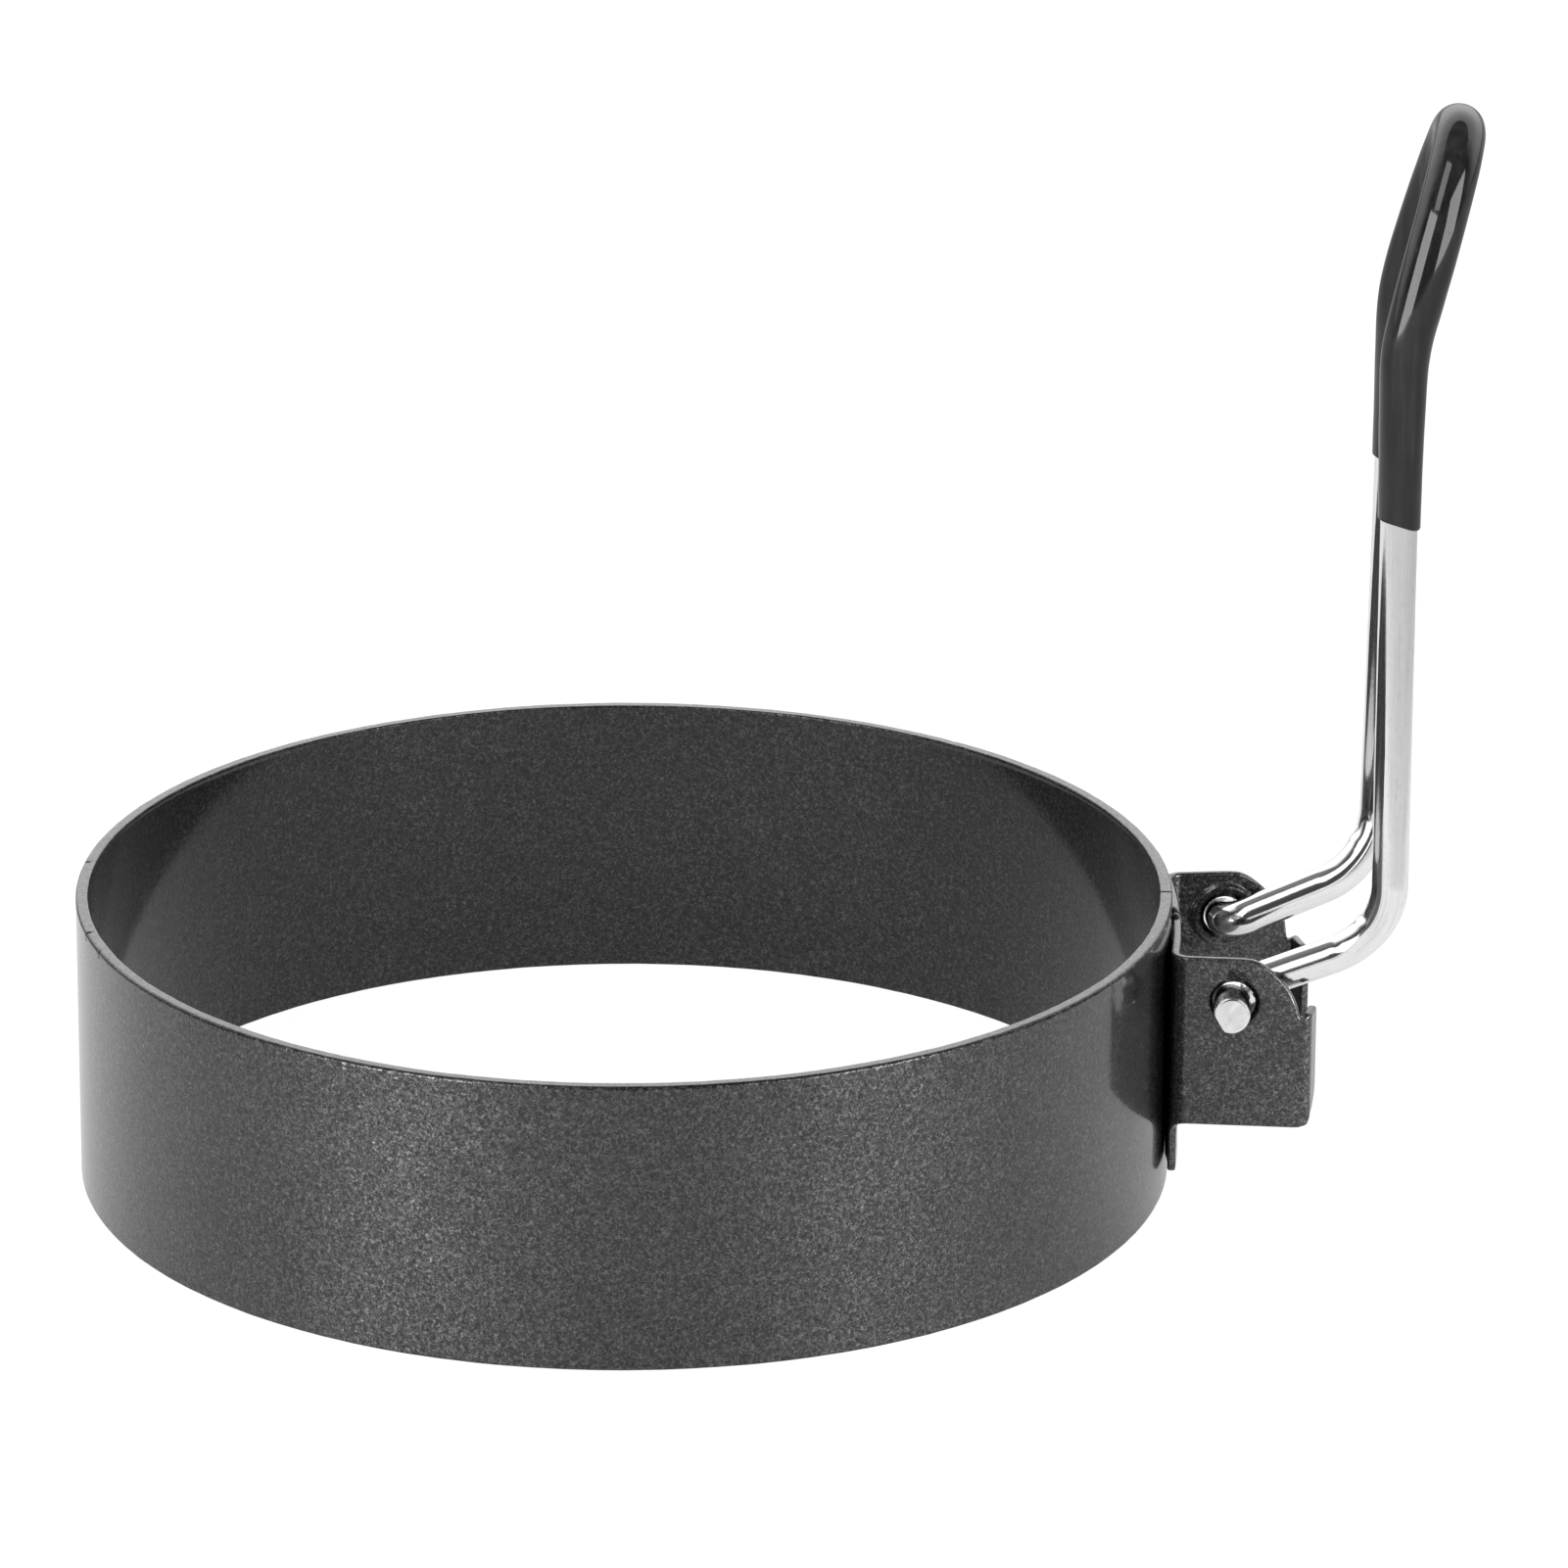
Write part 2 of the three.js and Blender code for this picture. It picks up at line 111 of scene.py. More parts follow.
camera.matrix_world = Matrix.Translation(Vector((0.010890 + AXIS_X, -0.618214, 0.251741))) @ turn
bpy.context.scene.camera = camera


# -------------------------------------------------------------- materials
def new_material(name):
    m = bpy.data.materials.new(name)
    m.use_nodes = True
    tree = m.node_tree
    tree.nodes.clear()
    out = tree.nodes.new("ShaderNodeOutputMaterial")
    out.location = (900, 0)
    bsdf = tree.nodes.new("ShaderNodeBsdfPrincipled")
    bsdf.location = (600, 0)
    tree.links.new(bsdf.outputs["BSDF"], out.inputs["Surface"])
    return m, tree, bsdf


def add(tree, kind, **values):
    node = tree.nodes.new(kind)
    for key, value in values.items():
        if hasattr(node, key):
            setattr(node, key, value)
        else:
            node.inputs[key].default_value = value
    return node


def noise(tree, coord, scale, detail=2.0, rough=0.5, distortion=0.0):
    n = add(tree, "ShaderNodeTexNoise", noise_dimensions="3D")
    n.inputs["Scale"].default_value = scale
    n.inputs["Detail"].default_value = detail
    n.inputs["Roughness"].default_value = rough
    n.inputs["Distortion"].default_value = distortion
    tree.links.new(coord, n.inputs["Vector"])
    return n


def ramp(tree, source, stops, interpolation="LINEAR"):
    r = tree.nodes.new("ShaderNodeValToRGB")
    r.color_ramp.interpolation = interpolation
    while len(r.color_ramp.elements) < len(stops):
        r.color_ramp.elements.new(0.5)
    for element, (pos, grey) in zip(r.color_ramp.elements, stops):
        element.position = pos
        element.color = (grey, grey, grey, 1.0) if isinstance(grey, (int, float)) else (*grey, 1.0)
    tree.links.new(source, r.inputs["Fac"])
    return r


def flake_normal(tree, coord, layers):
    """The surface normal, tilted at random over small grains, as the flakes in the coating lie."""
    geometry = tree.nodes.new("ShaderNodeNewGeometry")
    last = geometry.outputs["Normal"]
    for scale, tilt, detail in layers:
        grain = noise(tree, coord, scale, detail, 0.6)
        centred = add(tree, "ShaderNodeVectorMath", operation="SUBTRACT")
        centred.inputs[1].default_value = (0.5, 0.5, 0.5)
        tree.links.new(grain.outputs["Color"], centred.inputs[0])
        scaled = add(tree, "ShaderNodeVectorMath", operation="SCALE")
        scaled.inputs["Scale"].default_value = tilt
        tree.links.new(centred.outputs["Vector"], scaled.inputs[0])
        total = add(tree, "ShaderNodeVectorMath", operation="ADD")
        tree.links.new(last, total.inputs[0])
        tree.links.new(scaled.outputs["Vector"], total.inputs[1])
        last = total.outputs["Vector"]
    unit = add(tree, "ShaderNodeVectorMath", operation="NORMALIZE")
    tree.links.new(last, unit.inputs[0])
    return unit.outputs["Vector"]


def coated_steel(name, seed, stops, metal, clear_rough, thin_edges=False):
    """Dark metallic coating: grey flakes under a clear glossy top coat."""
    m, tree, bsdf = new_material(name)
    coord = add(tree, "ShaderNodeTexCoord")
    place = add(tree, "ShaderNodeMapping")
    place.inputs["Location"].default_value = (seed, seed * 0.37, seed * 0.71)
    tree.links.new(coord.outputs["Object"], place.inputs["Vector"])
    at = place.outputs["Vector"]
    grain = noise(tree, at, 4300.0, 2.0, 0.6, 1.2)
    colour = ramp(tree, grain.outputs["Fac"], stops)
    cloud = noise(tree, at, 210.0, 3.0, 0.55)
    tone = ramp(tree, cloud.outputs["Fac"], [(0.3, 0.90), (0.7, 1.08)])
    tinted = add(tree, "ShaderNodeMix", data_type="RGBA", blend_type="MULTIPLY")
    tinted.inputs["Factor"].default_value = 1.0
    tree.links.new(colour.outputs["Color"], tinted.inputs["A"])
    tree.links.new(tone.outputs["Color"], tinted.inputs["B"])
    tree.links.new(tinted.outputs["Result"], bsdf.inputs["Base Color"])
    rough = ramp(tree, grain.outputs["Fac"], [(0.3, 0.42), (0.7, 0.37)])
    tree.links.new(rough.outputs["Color"], bsdf.inputs["Roughness"])
    tree.links.new(flake_normal(tree, at, [(5200.0, 0.44, 2.0), (1900.0, 0.05, 1.0)]), bsdf.inputs["Normal"])
    peel = noise(tree, at, 900.0, 2.0, 0.5)
    bump = add(tree, "ShaderNodeBump")
    bump.inputs["Strength"].default_value = 0.05
    bump.inputs["Distance"].default_value = 0.00004
    tree.links.new(peel.outputs["Fac"], bump.inputs["Height"])
    tree.links.new(bump.outputs["Normal"], bsdf.inputs["Coat Normal"])
    bsdf.inputs["Metallic"].default_value = metal
    bsdf.inputs["Coat Weight"].default_value = 1.0
    if thin_edges:      # the clear coat runs thin over the upper edges
        facing = tree.nodes.new("ShaderNodeNewGeometry")
        parts = tree.nodes.new("ShaderNodeSeparateXYZ")
        tree.links.new(facing.outputs["Normal"], parts.inputs["Vector"])
        left = ramp(tree, parts.outputs["Z"], [(0.0, 1.0), (0.03, 1.0), (0.10, 0.03), (0.62, 0.03), (0.92, 1.0)])
        tree.links.new(left.outputs["Color"], bsdf.inputs["Coat Weight"])
    else:               # and over the sides of the two ear holes
        away = add(tree, "ShaderNodeVectorMath", operation="SUBTRACT")
        away.inputs[1].default_value = (AXIS_X + 0.0415, 0.0, 0.0149)
        tree.links.new(coord.outputs["Object"], away.inputs[0])
        flat = add(tree, "ShaderNodeVectorMath", operation="MULTIPLY")
        flat.inputs[1].default_value = (1000.0, 0.0, 1000.0)
        tree.links.new(away.outputs["Vector"], flat.inputs[0])
        radius = add(tree, "ShaderNodeVectorMath", operation="LENGTH")
        tree.links.new(flat.outputs["Vector"], radius.inputs[0])
        parts = tree.nodes.new("ShaderNodeSeparateXYZ")
        tree.links.new(flat.outputs["Vector"], parts.inputs["Vector"])
        across = add(tree, "ShaderNodeMath", operation="ABSOLUTE")
        tree.links.new(parts.outputs["X"], across.inputs[0])
        outside = add(tree, "ShaderNodeMapRange")
        outside.inputs["From Min"].default_value = 1.66
        outside.inputs["From Max"].default_value = 1.80
        tree.links.new(radius.outputs["Value"], outside.inputs["Value"])
        middle = add(tree, "ShaderNodeMapRange")
        middle.inputs["From Min"].default_value = 0.75
        middle.inputs["From Max"].default_value = 0.55
        tree.links.new(across.outputs["Value"], middle.inputs["Value"])
        either = add(tree, "ShaderNodeMath", operation="MAXIMUM")
        tree.links.new(outside.outputs["Result"], either.inputs[0])
        tree.links.new(middle.outputs["Result"], either.inputs[1])
        tree.links.new(either.outputs["Value"], bsdf.inputs["Coat Weight"])
        # painted shade: the base colour is darkened to a tenth round the sides of the two ear holes, which dulls the
        # glints on their edges
        hole_edge_painted_shade = ramp(tree, either.outputs["Value"], [(0.0, 0.10), (1.0, 1.0)])
        darker = add(tree, "ShaderNodeMix", data_type="RGBA", blend_type="MULTIPLY")
        darker.inputs["Factor"].default_value = 1.0
        tree.links.new(tinted.outputs["Result"], darker.inputs["A"])
        tree.links.new(hole_edge_painted_shade.outputs["Color"], darker.inputs["B"])
        tree.links.new(darker.outputs["Result"], bsdf.inputs["Base Color"])
        shine = ramp(tree, either.outputs["Value"], [(0.0, 0.05), (1.0, 0.5)])
        tree.links.new(shine.outputs["Color"], bsdf.inputs["Specular IOR Level"])
    bsdf.inputs["Coat Roughness"].default_value = clear_rough
    bsdf.inputs["Coat IOR"].default_value = 1.5
    return m


def bright_wire(name):
    """Plated wire: bright, with fine drawing lines along it."""
    m, tree, bsdf = new_material(name)
    coord = add(tree, "ShaderNodeTexCoord")
    along = add(tree, "ShaderNodeMapping")
    along.inputs["Scale"].default_value = (52.0, 1.6, 1.0)
    tree.links.new(coord.outputs["UV"], along.inputs["Vector"])
    lines = noise(tree, along.outputs["Vector"], 1.0, 4.0, 0.62)
    spots = noise(tree, coord.outputs["Object"], 2600.0, 3.0, 0.6)
    tone = ramp(tree, spots.outputs["Fac"], [(0.25, (0.84, 0.84, 0.84)), (0.42, (0.955, 0.955, 0.957)), (0.75, (0.98, 0.98, 0.982))])
    streak = ramp(tree, lines.outputs["Fac"], [(0.30, 0.84), (0.46, 0.97), (0.56, 1.0), (0.72, 0.90)])
    tinted = add(tree, "ShaderNodeMix", data_type="RGBA", blend_type="MULTIPLY")
    tinted.inputs["Factor"].default_value = 1.0
    tree.links.new(tone.outputs["Color"], tinted.inputs["A"])
    tree.links.new(streak.outputs["Color"], tinted.inputs["B"])
    tree.links.new(tinted.outputs["Result"], bsdf.inputs["Base Color"])
    rough = ramp(tree, lines.outputs["Fac"], [(0.30, 0.17), (0.55, 0.085), (0.75, 0.13)])
    tree.links.new(rough.outputs["Color"], bsdf.inputs["Roughness"])
    bump = add(tree, "ShaderNodeBump")
    bump.inputs["Strength"].default_value = 0.06
    bump.inputs["Distance"].default_value = 0.00003
    tree.links.new(lines.outputs["Fac"], bump.inputs["Height"])
    pits = add(tree, "ShaderNodeBump")
    pits.inputs["Strength"].default_value = 0.05
    pits.inputs["Distance"].default_value = 0.00003
    tree.links.new(spots.outputs["Fac"], pits.inputs["Height"])
    tree.links.new(bump.outputs["Normal"], pits.inputs["Normal"])
    tree.links.new(pits.outputs["Normal"], bsdf.inputs["Normal"])
    bsdf.inputs["Metallic"].default_value = 1.0
    return m


def black_vinyl(name):
    """Dipped vinyl: black, glossy, with slight runs and specks."""
    m, tree, bsdf = new_material(name)
    coord = add(tree, "ShaderNodeTexCoord")
    at = coord.outputs["Object"]
    cloud = noise(tree, at, 420.0, 3.0, 0.55)
    tone = ramp(tree, cloud.outputs["Fac"], [(0.3, (0.0105, 0.0105, 0.011)), (0.7, (0.015, 0.015, 0.0155))])
    drawn = add(tree, "ShaderNodeMapping")
    drawn.inputs["Scale"].default_value = (1.0, 1.0, 0.07)
    tree.links.new(at, drawn.inputs["Vector"])
    streak = noise(tree, drawn.outputs["Vector"], 1500.0, 3.0, 0.6)
    shade = ramp(tree, streak.outputs["Fac"], [(0.32, 0.62), (0.5, 1.0), (0.68, 1.7)])
    tinted = add(tree, "ShaderNodeMix", data_type="RGBA", blend_type="MULTIPLY")
    tinted.inputs["Factor"].default_value = 1.0
    tree.links.new(tone.outputs["Color"], tinted.inputs["A"])
    tree.links.new(shade.outputs["Color"], tinted.inputs["B"])
    tree.links.new(tinted.outputs["Result"], bsdf.inputs["Base Color"])
    fine = noise(tree, at, 1900.0, 4.0, 0.6)
    rough = ramp(tree, fine.outputs["Fac"], [(0.35, 0.055), (0.62, 0.075), (0.78, 0.26)])
    tree.links.new(rough.outputs["Color"], bsdf.inputs["Roughness"])
    speck = ramp(tree, fine.outputs["Fac"], [(0.70, 0.0), (0.80, 1.0)])
    run = noise(tree, at, 260.0, 1.0, 0.4)
    runs = add(tree, "ShaderNodeBump")
    runs.inputs["Strength"].default_value = 0.10
    runs.inputs["Distance"].default_value = 0.0003
    tree.links.new(run.outputs["Fac"], runs.inputs["Height"])
    specks = add(tree, "ShaderNodeBump")
    specks.inputs["Strength"].default_value = 0.35
    specks.inputs["Distance"].default_value = 0.00003
    tree.links.new(speck.outputs["Color"], specks.inputs["Height"])
    tree.links.new(runs.outputs["Normal"], specks.inputs["Normal"])
    tree.links.new(specks.outputs["Normal"], bsdf.inputs["Normal"])
    bsdf.inputs["IOR"].default_value = 1.52
    return m


# ------------------------------------------------------------------ band
RING_R, RING_T, RING_H = 37.5, 0.75, 20.0
SEAM_AZ, SEAM_GAP = rad(-1.5), 0.015


def build_band():
    length = 2 * math.pi * RING_R - SEAM_GAP
    ends = [0.0, 0.008, 0.03, 0.065, 0.12, 0.2, 0.3]
    steps = ends + list(np.arange(0.45, length - 0.45, 0.30)) + [length - e for e in reversed(ends)]

    def along(az_deg):
        return ((rad(az_deg) - SEAM_AZ) % (2 * math.pi)) * RING_R - SEAM_GAP / 2

    # small dents on the rim: azimuth, middle radius, radial reach, depth, width along
    nicks = [(173.9, 37.27, 0.26, 0.075, 0.11), (-164.9, 37.30, 0.28, 0.085, 0.13), (-159.4, 37.46, 0.12, 0.06, 0.16),
             (52.0, 37.42, 0.14, 0.05, 0.20), (-118.0, 37.47, 0.10, 0.035, 0.22), (-112.5, 37.47, 0.10, 0.03, 0.18)]
    for az, *_ in nicks:
        c = along(az)
        steps += list(np.arange(c - 0.6, c + 0.6, 0.05))
    steps = np.array(sorted(steps))
    steps = steps[np.concatenate([[True], np.diff(steps) > 0.004])]
    az = SEAM_AZ + (steps + SEAM_GAP / 2) / RING_R

    # edge radii wander a little, as on a sheared and tumbled strip
    fo = 0.225 + 0.04 * wave(steps, 3, 41.0, 1.9)
    fi = 0.115 + 0.025 * wave(steps, 5, 33.0, 1.7)
    gb = 0.15 + 0.03 * wave(steps, 7, 37.0, 2.1)
    ro, ri = RING_R, RING_R - RING_T
    bead = 0.10 + 0.022 * wave(steps, 17, 29.0, 1.3)
    low_side = [0, 0.002, 0.006, 0.02, 0.06, 0.12, 0.2, 0.3, 0.4, 0.5, 0.6, 0.7, 0.8, 0.88, 0.935]
    top_side = [0.9, 0.72, 0.6, 0.52, 0.46, 0.40, 0.35, 0.30, 0.25, 0.20, 0.15, 0.10, 0.06, 0.03, 0.0]
    side = np.array(low_side + [1 - d / (RING_H - 0.325) for d in top_side])
    flat = np.array([0.08, 0.3, 0.5, 0.7, 0.92, 1.0])
    quarter = np.array([1, 2, 3, 4, 5, 6]) / 6 * math.pi / 2
    R, Z, NR, NZ = [], [], [], []

    def put(r, z, nr, nz):
        R.append(r * np.ones_like(steps)); Z.append(z * np.ones_like(steps)); NR.append(nr); NZ.append(nz)

    for f in side:
        put(ro, gb + (RING_H - fo - gb) * f, 1, 0)
    for a in quarter:
        put(ro - fo + fo * math.cos(a), RING_H - fo + fo * math.sin(a), math.cos(a), math.sin(a))
    for f in flat:
        put((ro - fo) + ((ri - bead + fi) - (ro - fo)) * f, RING_H, 0, 1)
    for a in quarter:
        put(ri - bead + fi - fi * math.sin(a), RING_H - fi + fi * math.cos(a), -math.sin(a), math.cos(a))
    for f in side[::-1][1:]:
        z = gb + (RING_H - fi - gb) * f
        put(ri - bead * (1 - smooth01((RING_H - z - 0.20) / 0.26)), z, -1, 0)
    for a in quarter:
        put(ri + gb - gb * math.cos(a), gb - gb * math.sin(a), -math.cos(a), -math.sin(a))
    for f in flat:
        put((ri + gb) + ((ro - gb) - (ri + gb)) * f, 0.0, 0, -1)
    for a in quarter[:-1]:
        put(ro - gb + gb * math.sin(a), gb - gb * math.cos(a), math.sin(a), -math.cos(a))
    R, Z = np.array(R).T, np.array(Z).T
    NR, NZ = np.array(NR)[None, :], np.array(NZ)[None, :]

    # the two ends of the strip are eased as its edges are
    d = np.minimum(steps, length - steps)
    ease = 0.13
    inset = np.where(d < ease, ease - np.sqrt(np.maximum(ease**2 - (ease - d) ** 2, 0)), 0.0)[:, None]
    # faint unevenness of the rolled strip, inwards only
    h = np.clip(Z / RING_H, 0, 1)
    roll = 0.012 * (1 + wave(steps, 11, 60.0, 9.0)[:, None] * (0.6 + 0.4 * h) + 0.3 * wave(steps, 12, 24.0, 5.0)[:, None] * (h - 0.5))
    roll = np.where(np.abs(NZ) > 0.5, 0.006 * (1 + wave(steps, 13, 18.0, 1.1)[:, None]) * (h > 0.5), roll)
    R = R - (inset + roll * (NR > 0)) * NR + roll * (NR < 0) * 0.4
    Z = Z - inset * NZ - roll * (NZ > 0.5)
    for a, r0, reach, depth, width in nicks:
        gap = (steps - along(a))[:, None]
        dent = depth * np.exp(-((gap / width) ** 2)) * np.exp(-(((R - r0) / reach) ** 2)) * (Z > RING_H - 0.5)
        Z = Z - dent
        R = R - 0.6 * dent * (NR > 0.3)
    verts = np.stack([R * np.cos(az)[:, None], R * np.sin(az)[:, None], Z], -1)
    m, n = R.shape
    faces = []
    for i in range(m - 1):
        for j in range(n):
            k = (j + 1) % n
            faces.append((i * n + j, (i + 1) * n + j, (i + 1) * n + k, i * n + k))
    faces.append(tuple(range(n)))
    faces.append(tuple(reversed(range((m - 1) * n, m * n))))
    return make_piece("band_rolled_strip", verts.reshape(-1, 3), faces)


# --------------------------------------------------------------- bracket
SHEET_T = 0.56
EDGE_R = 0.17
SPLAY, LIP_TILT = rad(5.0), rad(14.5)
BASE_RAD = 76.3
BASE_MID = RING_R + 0.035 + SHEET_T / 2
BEND_1, BEND_2 = 0.75 + SHEET_T / 2, 0.12 + SHEET_T / 2
LIP_CORNER = 46.66
LIP_END_NEAR, LIP_END_FAR = 7.0, 6.3
HOLE_U, HOLE_Z = 41.5, 14.9


def ear_line(x):
    return 8.45 + (x - 38.7) * math.tan(SPLAY) - SHEET_T / 2 / math.cos(SPLAY)


class Fold:
    """Middle line of the folded sheet in plan, by the length s along it from the middle of the base plate: near lip and ear below 0, far ear and lip above."""

    def __init__(self):
        self.cx = BASE_MID - BASE_RAD
        y = 7.0
        for _ in range(60):
            x = self.cx + math.sqrt((BASE_RAD + BEND_1) ** 2 - y * y)
            y = ear_line(x) - BEND_1 / math.cos(SPLAY)
        self.c1 = (x, y)
        self.az1 = math.atan2(y, x - self.cx)
        self.turn1 = self.az1 + math.pi - (math.pi / 2 + SPLAY)
        n_ear = np.array([-math.sin(SPLAY), math.cos(SPLAY)])
        n_lip = np.array([math.cos(LIP_TILT), math.sin(LIP_TILT)])
        tip = np.array([LIP_CORNER, 8.45 + (LIP_CORNER - 38.7) * math.tan(SPLAY)])
        depth = SHEET_T / 2 + BEND_2
        self.c2 = tip + np.linalg.solve(np.array([n_ear, n_lip]), np.array([-depth, -depth]))
        self.turn2 = math.pi / 2 + SPLAY - LIP_TILT
        self.e0 = np.array(self.c1) + BEND_1 * n_ear
        self.e1 = self.c2 + BEND_2 * n_ear
        self.l0 = self.c2 + BEND_2 * n_lip
        self.q1 = BASE_RAD * self.az1
        self.q2 = self.q1 + BEND_1 * self.turn1
        self.q3 = self.q2 + float(np.linalg.norm(self.e1 - self.e0))
        self.q4 = self.q3 + BEND_2 * self.turn2

    def lip_end(self, y):
        return self.q4 + (self.l0[1] - y) / math.cos(LIP_TILT)

    def half(self, q):
        q = np.asarray(q, float)
        a = np.clip(q, 0, self.q1) / BASE_RAD
        x, y = self.cx + BASE_RAD * np.cos(a), BASE_RAD * np.sin(a)
        tx, ty = -np.sin(a), np.cos(a)
        b = self.az1 + math.pi - np.clip(q - self.q1, 0, self.q2 - self.q1) / BEND_1
        k = q > self.q1
        x, y = np.where(k, self.c1[0] + BEND_1 * np.cos(b), x), np.where(k, self.c1[1] + BEND_1 * np.sin(b), y)
        tx, ty = np.where(k, np.sin(b), tx), np.where(k, -np.cos(b), ty)
        k = q > self.q2
        f = np.clip((q - self.q2) / (self.q3 - self.q2), 0, 1)
        x, y = np.where(k, self.e0[0] + (self.e1[0] - self.e0[0]) * f, x), np.where(k, self.e0[1] + (self.e1[1] - self.e0[1]) * f, y)
        tx, ty = np.where(k, math.cos(SPLAY), tx), np.where(k, math.sin(SPLAY), ty)
        c = math.pi / 2 + SPLAY - np.clip(q - self.q3, 0, self.q4 - self.q3) / BEND_2
        k = q > self.q3
        x, y = np.where(k, self.c2[0] + BEND_2 * np.cos(c), x), np.where(k, self.c2[1] + BEND_2 * np.sin(c), y)
        tx, ty = np.where(k, np.sin(c), tx), np.where(k, -np.cos(c), ty)
        k = q > self.q4
        x, y = np.where(k, self.l0[0] + (q - self.q4) * math.sin(LIP_TILT), x), np.where(k, self.l0[1] - (q - self.q4) * math.cos(LIP_TILT), y)
        tx, ty = np.where(k, math.sin(LIP_TILT), tx), np.where(k, -math.cos(LIP_TILT), ty)
        return x, y, tx, ty

    def at(self, s):
        """Points on the middle line and the unit normal that points out of the channel."""
        s = np.asarray(s, float)
        x, y, tx, ty = self.half(np.abs(s))
        sign = np.where(s < 0, -1.0, 1.0)
        return x, y * sign, -ty, tx * sign


def dense(points, step):
    """A polyline with no segment longer than step."""
    out = [np.array(points[0], float)]
    for p in points[1:]:
        p = np.array(p, float)
        n = max(1, int(math.ceil(np.linalg.norm(p - out[-1]) / step)))
        start = out[-1]
        out += [start + (p - start) * i / n for i in range(1, n + 1)]
    return out


def corner(cx, cz, r, a0, a1, n=9):
    return [(cx + r * math.cos(rad(a0 + (a1 - a0) * i / n)), cz + r * math.sin(rad(a0 + (a1 - a0) * i / n))) for i in range(n + 1)]


def curved(points, per=6):
    """Smooth curve through the points."""
    p = [np.array(q, float) for q in points]
    p = [2 * p[0] - p[1]] + p + [2 * p[-1] - p[-2]]
    out = []
    for i in range(1, len(p) - 2):
        for j in range(per):
            t = j / per
            out.append(0.5 * ((2 * p[i]) + (-p[i - 1] + p[i + 1]) * t + (2 * p[i - 1] - 5 * p[i] + 4 * p[i + 1] - p[i + 2]) * t * t
                              + (-p[i - 1] + 3 * p[i] - 3 * p[i + 1] + p[i + 2]) * t**3))
    out.append(p[-2])
    return out


